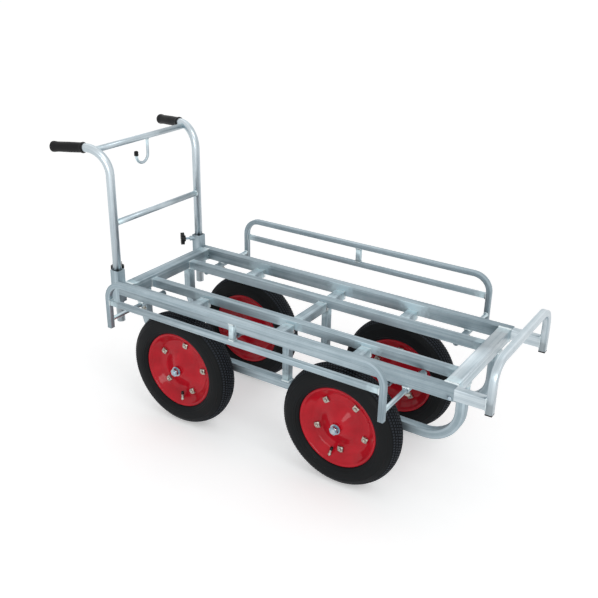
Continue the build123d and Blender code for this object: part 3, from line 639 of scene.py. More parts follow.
def swept_tree(is_round):
    """Sweeps a section along every route of a curve. Its tube_uv holds the way round, the way along and the
    route's length."""
    name = "swept_round" if is_round else "swept_box"
    if name in bpy.data.node_groups:
        return bpy.data.node_groups[name]
    sizes = {
        "Width": ("Float", 0.02), "Bend Radius": ("Float", 0.05), "Bend Steps": ("Int", 14),
        "Across": ("Vector", unit(Y)), "Capped": ("Bool", False), "Free Ends": ("Float", 0.0),
        "Material": ("Material", None)}
    if not is_round:
        sizes |= {"Height": ("Float", 0.02), "Corner": ("Float", 0.002)}
    tree, given = new_tree(name, sizes)
    bent = add(tree, "GeometryNodeFilletCurve", {
        "Curve": given["Geometry"], "Count": given["Bend Steps"], "Radius": given["Bend Radius"],
        "Limit Radius": True}, mode="POLY").outputs[0]
    aimed = add(tree, "GeometryNodeSetCurveNormal", {"Curve": bent, "Normal": given["Across"]},
                mode="FREE").outputs[0]
    if is_round:
        half = add(tree, "ShaderNodeMath", {0: given["Width"], 1: 0.5}, operation="MULTIPLY").outputs[0]
        section = add(tree, "GeometryNodeCurvePrimitiveCircle", {"Resolution": 40, "Radius": half}).outputs[0]
    else:
        plain = add(tree, "GeometryNodeCurvePrimitiveQuadrilateral", {
            "Width": given["Width"], "Height": given["Height"]}).outputs[0]
        section = add(tree, "GeometryNodeFilletCurve", {
            "Curve": plain, "Count": 4, "Radius": given["Corner"], "Limit Radius": True},
            mode="POLY").outputs[0]
    length = add(tree, "GeometryNodeSplineParameter").outputs["Length"]
    whole = add(tree, "GeometryNodeSplineLength").outputs["Length"]
    # Free ends count as a metre away from any weld.
    start = add(tree, "ShaderNodeMath", {0: length, 1: given["Free Ends"]}, operation="ADD").outputs[0]
    stop = add(tree, "ShaderNodeMath", {0: given["Free Ends"], 1: 2.0, 2: whole},
               operation="MULTIPLY_ADD").outputs[0]
    held = []
    for curve, kept in ((aimed, {"along": start, "long": stop}), (section, {"around": length})):
        keep = add(tree, "GeometryNodeCaptureAttribute", {"Geometry": curve})
        for label, value in kept.items():
            keep.capture_items.new("FLOAT", label)
            tree.links.new(value, keep.inputs[label])
        held.append(keep.outputs)
    route, outline = held
    skin = add(tree, "GeometryNodeCurveToMesh", {
        "Curve": route["Geometry"], "Profile Curve": outline["Geometry"],
        "Fill Caps": given["Capped"]}).outputs[0]
    trio = add(tree, "ShaderNodeCombineXYZ", {
        "X": outline["around"], "Y": route["along"], "Z": route["long"]}).outputs[0]
    marked = add(tree, "GeometryNodeStoreNamedAttribute", {
        "Geometry": skin, "Name": "tube_uv", "Value": trio}, data_type="FLOAT_VECTOR",
        domain="POINT").outputs[0]
    return close_tree(tree, marked, given["Material"])


def weld_tree():
    """Lays a rippled weld bead along every route of a curve, with its reach along a given way."""
    if "weld_bead" in bpy.data.node_groups:
        return bpy.data.node_groups["weld_bead"]
    tree, given = new_tree("weld_bead", {
        "Reach": ("Float", 0.005), "Rise": ("Float", 0.001), "Ripple": ("Float", 0.003),
        "Seed": ("Float", 7.0), "Across": ("Vector", unit(Y)), "Material": ("Material", None)})
    step = add(tree, "ShaderNodeMath", {0: given["Ripple"], 1: 0.25}, operation="MULTIPLY").outputs[0]
    dense = add(tree, "GeometryNodeResampleCurve", {"Curve": given["Geometry"], "Length": step},
                mode="LENGTH").outputs[0]
    aimed = add(tree, "GeometryNodeSetCurveNormal", {"Curve": dense, "Normal": given["Across"]},
                mode="FREE").outputs[0]
    # Each ripple rises slowly and ends sharply, and the bead swells and thins on its way.
    length = add(tree, "GeometryNodeSplineParameter").outputs["Length"]
    count = add(tree, "ShaderNodeMath", {0: length, 1: given["Ripple"]}, operation="DIVIDE").outputs[0]
    wave = add(tree, "ShaderNodeMath", {0: count}, operation="FRACT").outputs[0]
    place = add(tree, "GeometryNodeInputPosition").outputs[0]
    drift = add(tree, "ShaderNodeTexNoise", {"Vector": place, "W": given["Seed"], "Scale": per_mm(9),
                                             "Detail": 1.0}, noise_dimensions="4D").outputs["Fac"]
    rise = add(tree, "ShaderNodeMapRange", {"Value": wave, "To Min": 0.78, "To Max": 1.0}).outputs[0]
    sway = add(tree, "ShaderNodeMapRange", {"Value": drift, "From Min": 0.3, "From Max": 0.7,
                                            "To Min": 0.82, "To Max": 1.0}).outputs[0]
    share = add(tree, "ShaderNodeMath", {0: rise, 1: sway}, operation="MULTIPLY").outputs[0]
    circle = add(tree, "GeometryNodeCurvePrimitiveCircle", {"Resolution": 10, "Radius": 1.0}).outputs[0]
    size = add(tree, "ShaderNodeCombineXYZ", {"X": given["Reach"], "Y": given["Rise"], "Z": 1.0}).outputs[0]
    section = add(tree, "GeometryNodeTransform", {"Geometry": circle, "Scale": size}).outputs[0]
    bead = add(tree, "GeometryNodeCurveToMesh", {"Curve": aimed, "Profile Curve": section, "Scale": share,
                                                 "Fill Caps": True}).outputs[0]
    return close_tree(tree, bead, given["Material"])


def round_axle(tree, angle, reach, across, centre):
    """The spot at an angle and a reach round an axle, this far across from its centre."""
    cosine = add(tree, "ShaderNodeMath", {0: angle}, operation="COSINE").outputs[0]
    sine = add(tree, "ShaderNodeMath", {0: angle}, operation="SINE").outputs[0]
    forward = add(tree, "ShaderNodeMath", {0: reach, 1: cosine}, operation="MULTIPLY").outputs[0]
    upward = add(tree, "ShaderNodeMath", {0: reach, 1: sine}, operation="MULTIPLY").outputs[0]
    spot = add(tree, "ShaderNodeCombineXYZ", {"X": forward, "Y": across, "Z": upward}).outputs[0]
    return add(tree, "ShaderNodeVectorMath", {0: spot, 1: centre}, operation="ADD").outputs[0]


def tread_tree():
    """Sets rows of tread blocks round a tyre carcass."""
    if "tread_blocks" in bpy.data.node_groups:
        return bpy.data.node_groups["tread_blocks"]
    tree, given = new_tree("tread_blocks", {
        "Blocks": ("Int", 132), "Rows": ("Int", 7), "Radius": ("Float", 0.176),
        "Row Spacing": ("Float", 0.0082), "Crown Drop": ("Float", 0.0007), "Row Tilt": ("Float", 0.17),
        "Block Length": ("Float", 0.0066), "Block Width": ("Float", 0.0066), "Block Height": ("Float", 0.003),
        "Centre": ("Vector", ORIGIN), "Material": ("Material", None)})
    total = add(tree, "ShaderNodeMath", {0: given["Blocks"], 1: given["Rows"]},
                operation="MULTIPLY").outputs[0]
    dots = add(tree, "GeometryNodePoints", {"Count": total}).outputs[0]
    index = add(tree, "GeometryNodeInputIndex").outputs[0]
    row = add(tree, "ShaderNodeMath", {0: index, 1: given["Rows"]}, operation="MODULO").outputs[0]
    ratio = add(tree, "ShaderNodeMath", {0: index, 1: given["Rows"]}, operation="DIVIDE").outputs[0]
    step = add(tree, "ShaderNodeMath", {0: ratio}, operation="FLOOR").outputs[0]
    # Every other row is half a block further round.
    odd = add(tree, "ShaderNodeMath", {0: row, 1: 2.0}, operation="MODULO").outputs[0]
    shift = add(tree, "ShaderNodeMath", {0: odd, 1: 0.5, 2: step}, operation="MULTIPLY_ADD").outputs[0]
    part = add(tree, "ShaderNodeMath", {0: shift, 1: given["Blocks"]}, operation="DIVIDE").outputs[0]
    angle = add(tree, "ShaderNodeMath", {0: part, 1: math.tau}, operation="MULTIPLY").outputs[0]
    # The rows lie on a crowned band, lower and more tilted the further they are from the middle row.
    last = add(tree, "ShaderNodeMath", {0: given["Rows"], 1: 1.0}, operation="SUBTRACT").outputs[0]
    middle = add(tree, "ShaderNodeMath", {0: last, 1: 0.5}, operation="MULTIPLY").outputs[0]
    side = add(tree, "ShaderNodeMath", {0: row, 1: middle}, operation="SUBTRACT").outputs[0]
    across = add(tree, "ShaderNodeMath", {0: side, 1: given["Row Spacing"]}, operation="MULTIPLY").outputs[0]
    square = add(tree, "ShaderNodeMath", {0: side, 1: side}, operation="MULTIPLY").outputs[0]
    fall = add(tree, "ShaderNodeMath", {0: square, 1: given["Crown Drop"]}, operation="MULTIPLY").outputs[0]
    reach = add(tree, "ShaderNodeMath", {0: given["Radius"], 1: fall}, operation="SUBTRACT").outputs[0]
    place = round_axle(tree, angle, reach, across, given["Centre"])
    spread = add(tree, "GeometryNodeSetPosition", {"Geometry": dots, "Position": place}).outputs[0]
    lean = add(tree, "ShaderNodeMath", {0: math.pi / 2, 1: angle}, operation="SUBTRACT").outputs[0]
    tip = add(tree, "ShaderNodeMath", {0: side, 1: given["Row Tilt"]}, operation="MULTIPLY").outputs[0]
    back = add(tree, "ShaderNodeMath", {0: tip, 1: -1.0}, operation="MULTIPLY").outputs[0]
    turn = add(tree, "ShaderNodeCombineXYZ", {"X": back, "Y": lean}).outputs[0]
    rotation = add(tree, "FunctionNodeEulerToRotation", {"Euler": turn}).outputs[0]
    # A four sided cone stands on its corner, so it is turned by 45 degrees. At this radius its sides are one
    # long.
    foot = math.sqrt(0.5)
    taper = add(tree, "GeometryNodeMeshCone", {
        "Vertices": 4, "Radius Top": 0.86 * foot, "Radius Bottom": foot, "Depth": 1.0}).outputs[0]
    block = add(tree, "GeometryNodeTransform", {
        "Geometry": taper, "Translation": (0.0, 0.0, -1.0), "Rotation": (0.0, 0.0, math.pi / 4)}).outputs[0]
    # The blocks' top faces are marked for the tyre's painted highlight.
    normal = add(tree, "GeometryNodeInputNormal").outputs[0]
    facing = add(tree, "ShaderNodeSeparateXYZ", {0: normal}).outputs["Z"]
    upper = add(tree, "ShaderNodeMath", {0: facing, 1: 0.9}, operation="GREATER_THAN").outputs[0]
    marked = add(tree, "GeometryNodeStoreNamedAttribute", {
        "Geometry": block, "Name": "tread_top", "Value": upper}, data_type="FLOAT", domain="FACE").outputs[0]
    size = add(tree, "ShaderNodeCombineXYZ", {
        "X": given["Block Length"], "Y": given["Block Width"], "Z": given["Block Height"]}).outputs[0]
    blocks = add(tree, "GeometryNodeInstanceOnPoints", {
        "Points": spread, "Instance": marked, "Rotation": rotation, "Scale": size}).outputs[0]
    whole = add(tree, "GeometryNodeJoinGeometry", {"Geometry": blocks})
    tree.links.new(given["Geometry"], whole.inputs["Geometry"])
    return close_tree(tree, whole.outputs[0], given["Material"])


def ring_tree():
    """Stands copies of a part on a circle round an axle."""
    if "ring_of_bolts" in bpy.data.node_groups:
        return bpy.data.node_groups["ring_of_bolts"]
    tree, given = new_tree("ring_of_bolts", {
        "Part": ("Object", None), "Count": ("Int", 5), "Radius": ("Float", 0.077), "Phase": ("Float", 0.0),
        "Centre": ("Vector", ORIGIN), "Material": ("Material", None)})
    dots = add(tree, "GeometryNodePoints", {"Count": given["Count"]}).outputs[0]
    index = add(tree, "GeometryNodeInputIndex").outputs[0]
    ratio = add(tree, "ShaderNodeMath", {0: index, 1: given["Count"]}, operation="DIVIDE").outputs[0]
    angle = add(tree, "ShaderNodeMath", {0: ratio, 1: math.tau, 2: given["Phase"]},
                operation="MULTIPLY_ADD").outputs[0]
    place = round_axle(tree, angle, given["Radius"], 0.0, given["Centre"])
    spread = add(tree, "GeometryNodeSetPosition", {"Geometry": dots, "Position": place}).outputs[0]
    back = add(tree, "ShaderNodeMath", {0: angle, 1: -1.0}, operation="MULTIPLY").outputs[0]
    turn = add(tree, "ShaderNodeCombineXYZ", {"Y": back}).outputs[0]
    rotation = add(tree, "FunctionNodeEulerToRotation", {"Euler": turn}).outputs[0]
    part = add(tree, "GeometryNodeObjectInfo", {"Object": given["Part"]}).outputs["Geometry"]
    ring = add(tree, "GeometryNodeInstanceOnPoints", {
        "Points": spread, "Instance": part, "Rotation": rotation}).outputs[0]
    return close_tree(tree, ring, given["Material"])


def worked(source, tree, values):
    """Runs a node tree on a source object, and gives its result as a plain mesh."""
    modifier = source.modifiers.new(tree.name, "NODES")
    modifier.node_group = tree
    for item in tree.interface.items_tree:
        if item.item_type == "SOCKET" and item.in_out == "INPUT" and item.name in values:
            modifier[item.identifier] = values[item.name]
    graph = bpy.context.evaluated_depsgraph_get()
    mesh = bpy.data.meshes.new_from_object(
        source.evaluated_get(graph), preserve_all_data_layers=True, depsgraph=graph)
    source.modifiers.remove(modifier)
    bpy.data.objects.remove(source)
    return mesh


def placed(name, data):
    """A new object in the scene."""
    item = bpy.data.objects.new(name, data)
    bpy.context.scene.collection.objects.link(item)
    return item


def routed(name, routes, is_loop=False):
    """A curve object with one straight-edged spline for each route."""
    curve = bpy.data.curves.new(name + "_route", "CURVE")
    curve.dimensions = "3D"
    for route in routes:
        spline = curve.splines.new("POLY")
        spline.points.add(len(route) - 1)
        for point, place in zip(spline.points, route):
            point.co = (*place, 1.0)
        spline.use_cyclic_u = is_loop
    return placed(name + "_route", curve)


def smoothed(mesh, angle):
    """Shades a mesh smooth, with edges sharper than an angle kept."""
    mesh.shade_smooth()
    mesh.set_sharp_from_angle(angle=math.radians(angle))
    return mesh


def outward(mesh):
    """Closes a mesh's seams and turns its faces outwards."""
    shape = bmesh.new()
    shape.from_mesh(mesh)
    bmesh.ops.remove_doubles(shape, verts=shape.verts[:], dist=SEAM)
    bmesh.ops.recalc_face_normals(shape, faces=shape.faces[:])
    shape.to_mesh(mesh)
    shape.free()
    return mesh


def painted(context, mesh, slot, finish=None):
    """Gives a mesh a finish, or else the usual one of its slot."""
    mesh.materials.clear()
    mesh.materials.append(finish_of(context, finish or SLOTS[slot]))
    return mesh


def seat(mesh, name, body, replaced):
    """Makes a mesh a piece of the cart: it rides on a body and stands for its CAD nodes."""
    mesh.name = name
    piece = placed(name, mesh)
    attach(piece, body)
    if replaced:
        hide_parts(*replaced)
    return piece


def fitted(context, mesh, name, body, slot, replaced, angle, finish=None):
    """Paints a mesh, shades it smooth up to an angle and seats it."""
    seat(smoothed(painted(context, mesh, slot, finish), angle), name, body, replaced)


def tube(context, node, body, routes, section, across, bend=0.0, is_round=False, wall=0.0, is_welded=True,
         finish="bright_drawn_aluminium"):
    """A tube or rod along the routes in place of a CAD node. With no wall it is solid."""
    sizes = context.scene.cart_sizes
    least = min(section)
    width, height = (least, least) if is_round else section
    # A corner is at most a fifth of the tube's lesser side.
    values = {
        "Width": width, "Height": height, "Corner": min(sizes.corner, 0.2 * least), "Bend Radius": bend,
        "Across": across, "Capped": wall == 0.0, "Free Ends": 0.0 if is_welded else 1.0,
        "Material": finish_of(context, finish)}
    mesh = worked(routed(node, routes), swept_tree(is_round), values)
    piece = seat(smoothed(outward(mesh), angle=40), node + "_tube", body, [node])
    if wall:
        thick = piece.modifiers.new("wall", "SOLIDIFY")
        thick.thickness = wall
        thick.offset = -1.0


def straight(low, high):
    """The route along a box's longest side, its section and the way its width points."""
    size = high - low
    run = max((X, Y, Z), key=lambda axis: size[axis])
    side, rise = OTHER_AXES[run]
    ends = []
    for corner in (low, high):
        end = (low + high) / 2
        end[run] = corner[run]
        ends.append(end)
    return ends, (size[side], size[rise]), unit(side)


def straight_tubes(context, node, body, wall=None, relief=0.0, **options):
    """Straight tubes in place of every solid of a CAD node, with their faces a relief further in."""
    wall = context.scene.cart_sizes.wall if wall is None else wall
    lines = [straight(low, high) for low, high in solids(node)]
    routes = [line[0] for line in lines]
    section = [side - 2 * relief for side in lines[0][1]]
    tube(context, node, body, routes, section, lines[0][2], wall=wall, **options)


def arched(low, high, run, size, opens_up):
    """The route of a tube that is bent into a U along an axis."""
    half = size / 2
    back = low.z + half if opens_up else high.z - half
    tip = high.z if opens_up else low.z
    route = []
    for place, height in ((low[run] + half, tip), (low[run] + half, back),
                          (high[run] - half, back), (high[run] - half, tip)):
        point = (low + high) / 2
        point[run] = place
        point.z = height
        route.append(point)
    return route


def rounded(profile, reach, steps):
    """A profile whose inner corners are eased, starting up to a reach before each corner."""
    # A little under half of an edge, so that the easings at its two ends don't meet.
    most = 0.48
    eased = [tuple(profile[0])]
    for before, corner, after in zip(profile, profile[1:], profile[2:]):
        corner = Vector(corner)
        back = Vector(before) - corner
        ahead = Vector(after) - corner
        start = corner + back.normalized() * min(reach, most * back.length)
        end = corner + ahead.normalized() * min(reach, most * ahead.length)
        for step in range(steps + 1):
            share = step / steps
            rest = 1 - share
            eased.append(tuple(start * rest ** 2 + corner * 2 * share * rest + end * share ** 2))
    eased.append(tuple(profile[-1]))
    return eased


def faced(profile, face):
    """A profile on one face of a wheel or at one end of an axle."""
    return [(face * along, radius) for along, radius in profile]


def both_ways(half):
    """A profile followed by its mirror image."""
    return [*half, *faced(reversed(half), -1.0)]


def skinned(rings, closed):
    """A mesh that joins each ring of points to the next one, and the last to the first."""
    shape = bmesh.new()
    rows = [[shape.verts.new(point) for point in ring] for ring in rings]
    count = len(rows[0])
    for row, following in zip(rows, rows[1:] + rows[:1]):
        for place in range(count if closed else count - 1):
            other = (place + 1) % count
            shape.faces.new((row[place], following[place], following[other], row[other]))
    bmesh.ops.remove_doubles(shape, verts=shape.verts[:], dist=SEAM)
    bmesh.ops.dissolve_degenerate(shape, dist=SPECK, edges=shape.edges[:])
    bmesh.ops.recalc_face_normals(shape, faces=shape.faces[:])
    mesh = bpy.data.meshes.new("skin")
    shape.to_mesh(mesh)
    shape.free()
    return mesh


def turned(profile, centre, steps, facing=(0.0, 1.0, 0.0), closed=True):
    """A mesh turned from a profile about an axis through the centre."""
    pose = unit(Y).rotation_difference(Vector(facing)).to_matrix()
    rings = []
    for step in range(steps):
        angle = math.tau * step / steps
        rings.append([Vector(centre) + pose @ (Vector((
            radius * math.cos(angle), along, radius * math.sin(angle))) * MM) for along, radius in profile])
    return skinned(rings, closed)


def nut(sides, flats, foot, top, centre, phase):
    """A nut about the Y axis with its turned chamfer, in millimetres across its flats and along the axis."""
    # The chamfer leaves a round face that is a little narrower than the flats.
    face = 0.48 * flats
    chamfer = math.tan(math.radians(30))
    way = 1.0 if top > foot else -1.0
    steps = 8 * sides
    rings = []
    for step in range(steps):
        angle = math.tau * step / steps
        reach = flats / 2 / math.cos(angle % (math.tau / sides) - math.pi / sides)
        crest = top - way * (reach - face) * chamfer
        profile = ((foot, 0.0), (foot, reach), (crest, reach), (top, face), (top, 0.0))
        rings.append([Vector((radius * math.cos(angle), along, radius * math.sin(angle))) * MM
                      for along, radius in profile])
    mesh = skinned(rings, closed=False)
    mesh.transform(Matrix.Translation(Vector(centre)) @ Matrix.Rotation(phase, 4, "Y"))
    return mesh


def joined(meshes):
    """One mesh from several, without their materials."""
    shape = bmesh.new()
    for mesh in meshes:
        shape.from_mesh(mesh)
    whole = bpy.data.meshes.new("joined")
    shape.to_mesh(whole)
    shape.free()
    for mesh in meshes:
        bpy.data.meshes.remove(mesh)
    return whole


def softened(context, node, body, slot, width, finish=None, run=None):
    """A merged copy of a CAD node with its sharp edges eased by a bevel, and drawn lines along its run."""
    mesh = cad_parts[node].data.copy()
    shape = bmesh.new()
    shape.from_mesh(mesh)
    bmesh.ops.remove_doubles(shape, verts=shape.verts[:], dist=SPECK)
    bmesh.ops.dissolve_limit(shape, angle_limit=math.radians(0.5), verts=shape.verts[:], edges=shape.edges[:])
    shape.to_mesh(mesh)
    shape.free()
    if run is not None:
        lines = mesh.attributes.new("tube_uv", "FLOAT_VECTOR", "POINT")
        for vert, line in zip(mesh.vertices, lines.data):
            line.vector = (sum(vert.co) - vert.co[run], vert.co[run], 0.0)
    piece = seat(painted(context, mesh, slot, finish), node + "_eased", body, [node])
    mesh.shade_smooth()
    ease = piece.modifiers.new("ease", "BEVEL")
    ease.width = width
    ease.segments = 2
    ease.limit_method = "ANGLE"
    ease.angle_limit = math.radians(40)
    ease.harden_normals = True


def handle_route(context, side):
    """A handle tube's tail, corner and grip end, the direction of its grip and its radius."""
    sizes = context.scene.cart_sizes
    low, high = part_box("handle_tube_" + side)
    outer = way_out(side)
    radius = sizes.handle_diameter / 2
    upright_x = high.x - radius
    upright_y = (high.y if side == "right" else low.y) + outer * radius
    droop, flare = sizes.handle_droop, sizes.handle_flare
    lead = Vector((-math.cos(droop) * math.cos(flare), outer * math.cos(droop) * math.sin(flare),
                   -math.sin(droop)))
    tangent = sizes.handle_bend * math.tan(math.acos(lead.z) / 2)
    corner = Vector((upright_x, upright_y, high.z - radius + tangent - sizes.handle_bend))
    end_x = low.x + radius * math.sqrt(1 - lead.x ** 2)
    end = corner + lead * ((end_x - corner.x) / lead.x)
    return [Vector((upright_x, upright_y, low.z)), corner, end], lead, radius


def frame_round(low, high, axis, place):
    """The four corners of a box's outline across an axis, at a place on it."""
    first, second = OTHER_AXES[axis]
    loop = []
    for one, two in ((low, low), (high, low), (high, high), (low, high)):
        point = Vector(ORIGIN)
        point[axis] = place
        point[first] = one[first]
        point[second] = two[second]
        loop.append(point)
    return loop


def ring_round(centre, radius, axis):
    """Points round a rod, across an axis."""
    first, second = OTHER_AXES[axis]
    steps = 28
    ring = []
    for step in range(steps):
        point = Vector(centre)
        point[first] += radius * math.cos(math.tau * step / steps)
        point[second] += radius * math.sin(math.tau * step / steps)
        ring.append(point)
    return ring


def facing_turn(aim):
    """How a lamp or camera is turned to face along a direction."""
    return Vector(aim).to_track_quat("-Z", "Y")


class CART_OT_stage(bpy.types.Operator):
    """Sets up the studio floor, the light and the camera"""
    bl_idname = "cart.stage"
    bl_label = "Stage"

    def execute(self, context):
        stage = context.scene.cart_stage
        context.scene.view_settings.view_transform = "Standard"
        reach = stage.floor_reach
        floor_mesh = bpy.data.meshes.new("studio_floor")
        corners = [(-reach, -reach, 0), (reach, -reach, 0), (reach, reach, 0), (-reach, reach, 0)]
        floor_mesh.from_pydata(corners, [], [(0, 1, 2, 3)])
        floor_mesh.materials.append(matt_studio_paper(context.scene.cart_colours, stage.floor_lift))
        placed("studio_floor", floor_mesh)

        world = bpy.data.worlds.new("studio")
        context.scene.world = world
        world.use_nodes = True
        sky = world.node_tree
        sky.nodes.clear()
        level = add(sky, "ShaderNodeMapRange", {
            "Value": seen_rays(sky), "To Min": stage.sky_level, "To Max": 1.0}).outputs[0]
        glow = add(sky, "ShaderNodeBackground", {"Color": WHITE, "Strength": level}).outputs[0]
        add(sky, "ShaderNodeOutputWorld", {"Surface": glow})

        for name, energy, spread, aim in (
                ("key_sun", stage.key_level, stage.key_spread, stage.key_aim),
                ("back_sun", stage.back_level, stage.back_spread, stage.back_aim)):
            lamp = bpy.data.lights.new(name, "SUN")
            lamp.energy = energy
            lamp.angle = spread
            placed(name, lamp).rotation_euler = facing_turn(aim).to_euler()

        window = bpy.data.lights.new("softbox", "AREA")
        window.energy = stage.softbox_power
        window.shape = "RECTANGLE"
        window.size, window.size_y = stage.softbox_size
        softbox = placed("softbox", window)
        softbox.location = stage.softbox_place
        softbox.rotation_euler = facing_turn(Vector(stage.softbox_target) - softbox.location).to_euler()

        lens = bpy.data.cameras.new("photo_camera")
        lens.lens = stage.lens
        lens.sensor_width = stage.sensor
        lens.clip_end = 5 * reach
        camera = placed("photo_camera", lens)
        place = Vector(stage.camera_place)
        look = facing_turn(Vector(stage.camera_target) - place).to_matrix()
        pose = look @ Matrix.Rotation(stage.camera_roll, 3, "Z")
        camera.matrix_world = Matrix.Translation(place) @ pose.to_4x4()
        context.scene.camera = camera
        return {"FINISHED"}


class CART_OT_deck(bpy.types.Operator):
    """Makes the deck's rails, cross tubes and ties and the bent underframe"""
    bl_idname = "cart.deck"
    bl_label = "Deck and Underframe"

    def execute(self, context):
        sizes = context.scene.cart_sizes
        rails = "outer_rail_right", "outer_rail_left", "inner_rail_right", "inner_rail_left"
        others = "rear_cross_tube", "side_ties", "centre_tie", "middle_posts"
        # The front cross tube is the same mill tube as the deck; its bright finish is painted highlight, for
        # the light that falls brighter on it.
        for nodes, finish in ((rails, "brushed_rail_aluminium"),
                              (("front_cross_tube",), "bright_drawn_aluminium"),
                              (others, "satin_mill_aluminium")):
            for node in nodes:
                is_welded = not node.startswith("outer")
                straight_tubes(context, node, "chassis", is_welded=is_welded, finish=finish)
        for side in SIDES:
            node = "underframe_" + side
            low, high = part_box(node)
            size = high.y - low.y
            route = arched(low, high, X, size, opens_up=True)
            tube(context, node, "chassis", [route], (size, size), unit(Y), bend=sizes.underframe_bend,
                 wall=sizes.wall, finish="satin_mill_aluminium")
        return {"FINISHED"}


class CART_OT_guards(bpy.types.Operator):
    """Makes the two side guards with their mid rails, struts and rods"""
    bl_idname = "cart.guards"
    bl_label = "Side Guards"

    def execute(self, context):
        sizes = context.scene.cart_sizes
        satin = "satin_mill_aluminium"
        for side in SIDES:
            body = "guard_" + side
            node = "guard_tube_" + side
            low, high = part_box(node)
            size = high.y - low.y
            slim = size - 2 * sizes.guard_relief
            route = arched(low, high, X, size, opens_up=False)
            tube(context, node, body, [route], (slim, slim), unit(Y), bend=sizes.guard_bend, wall=sizes.wall,
                 is_welded=False, finish=satin)
            straight_tubes(context, "guard_mid_rail_" + side, body, relief=sizes.guard_relief, finish=satin)
            straight_tubes(context, "guard_strut_" + side, body, relief=sizes.guard_relief, finish=satin)
            straight_tubes(context, "guard_rods_" + side, body, wall=0.0, is_round=True)
        return {"FINISHED"}


class CART_OT_front_frame(bpy.types.Operator):
    """Makes the front frame with its arms and leg caps"""
    bl_idname = "cart.front_frame"
    bl_label = "Front Frame"

    def execute(self, context):
        sizes = context.scene.cart_sizes
        low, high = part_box("front_frame_tube")
        size = high.x - low.x
        route = arched(low, high, Y, size, opens_up=False)
        tube(context, "front_frame_tube", "front_frame", [route], (size, size), unit(X),
             bend=sizes.front_bend, wall=sizes.wall, is_welded=False)
        straight_tubes(context, "front_arms", "front_frame", is_welded=False)
        softened(context, "front_leg_caps", "front_frame", "black_plastic", width=0.8 * MM)
        return {"FINISHED"}


class CART_OT_handle(bpy.types.Operator):
    """Makes the push handle with its bars, hook and grips"""
    bl_idname = "cart.handle"
    bl_label = "Handle"

    def execute(self, context):
        sizes = context.scene.cart_sizes
        for side in SIDES:
            route, lead, radius = handle_route(context, side)
            section = 2 * radius, 2 * radius
            tube(context, "handle_tube_" + side, "handle", [route], section, lead.cross(unit(Z)),
                 bend=sizes.handle_bend, wall=sizes.wall, is_round=True, is_welded=False)
            node = "grip_" + side
            corner = route[1]
            tip_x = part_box(node)[0].x + sizes.grip_end * math.sqrt(1 - lead.x ** 2)
            tip = corner + lead * ((tip_x - corner.x) / lead.x)
            grip = turned(rounded(GRIP, reach=2.4, steps=4), tip, steps=48, facing=lead, closed=False)
            fitted(context, grip, node + "_moulded", "handle", "black_rubber", [node], angle=50)
        for node in ("upper_bar", "lower_bar"):
            straight_tubes(context, node, "handle", is_round=True)

        low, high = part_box("hook")
        cap_low, cap_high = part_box("hook_cap")
        rod = high.x - low.x
        middle = (low.x + high.x) / 2
        near, far = high.y - rod / 2, low.y + rod / 2
        foot = low.z + rod / 2
        tip = cap_low.z + sizes.hook_depth
        route = [Vector((middle, *spot)) for spot in ((near, high.z), (near, foot), (far, foot), (far, tip))]
        # The bend is a hair under half of the gap, so that its two quarters don't meet.
        tube(context, "hook", "handle", [route], (rod, rod), unit(X), bend=0.999 * (near - far) / 2,
             is_round=True)
        cap_foot = centre_of("hook_cap")
        cap_foot.z = cap_low.z
        span = (cap_high.z - cap_low.z) / MM
        width = (cap_high.x - cap_low.x) / MM / 2
        # The cap's end slopes in by this much, over this length.
        inset, slope = 3.5, 2
        profile = ((0, rod / MM / 2), (0, width), (span - slope, width), (span, width - inset), (span, 0))
        cap = turned(rounded(profile, reach=1.6, steps=4), cap_foot, steps=32, facing=unit(Z), closed=False)
        fitted(context, cap, "hook_cap_moulded", "handle", "black_rubber", ["hook_cap"], angle=50)
        return {"FINISHED"}


class CART_OT_sleeves(bpy.types.Operator):
    """Makes the handle sleeves with their clamp knobs and the guard sleeves with their screws"""
    bl_idname = "cart.sleeves"
    bl_label = "Sleeves and Knobs"

    def execute(self, context):
        for side in SIDES:
            softened(context, "handle_sleeve_" + side, "chassis", "aluminium_tube", width=1.2 * MM, run=Z)
            rod_low, rod_high = solids("guard_rods_" + side)[0]
            low, high = solids("guard_sleeves_" + side)[0]
            wall = (high.z - low.z - rod_high.z + rod_low.z) / 2 - context.scene.cart_sizes.rod_fit
            straight_tubes(context, "guard_sleeves_" + side, "chassis", wall=wall, is_round=True,
                           is_welded=False, finish="satin_mill_aluminium")
            softened(context, "knob_" + side, "knob_" + side, "black_plastic", width=1.4 * MM)
            softened(context, "knob_stud_" + side, "knob_" + side, "zinc_steel", width=0.6 * MM)
        softened(context, "axle_saddles", "chassis", "aluminium_tube", width=0.8 * MM, run=X)
        softened(context, "clamp_screws", "chassis", "zinc_steel", width=0.6 * MM, finish="dulled_zinc_steel")
        softened(context, "lock_screws", "chassis", "zinc_steel", width=0.5 * MM)
        return {"FINISHED"}


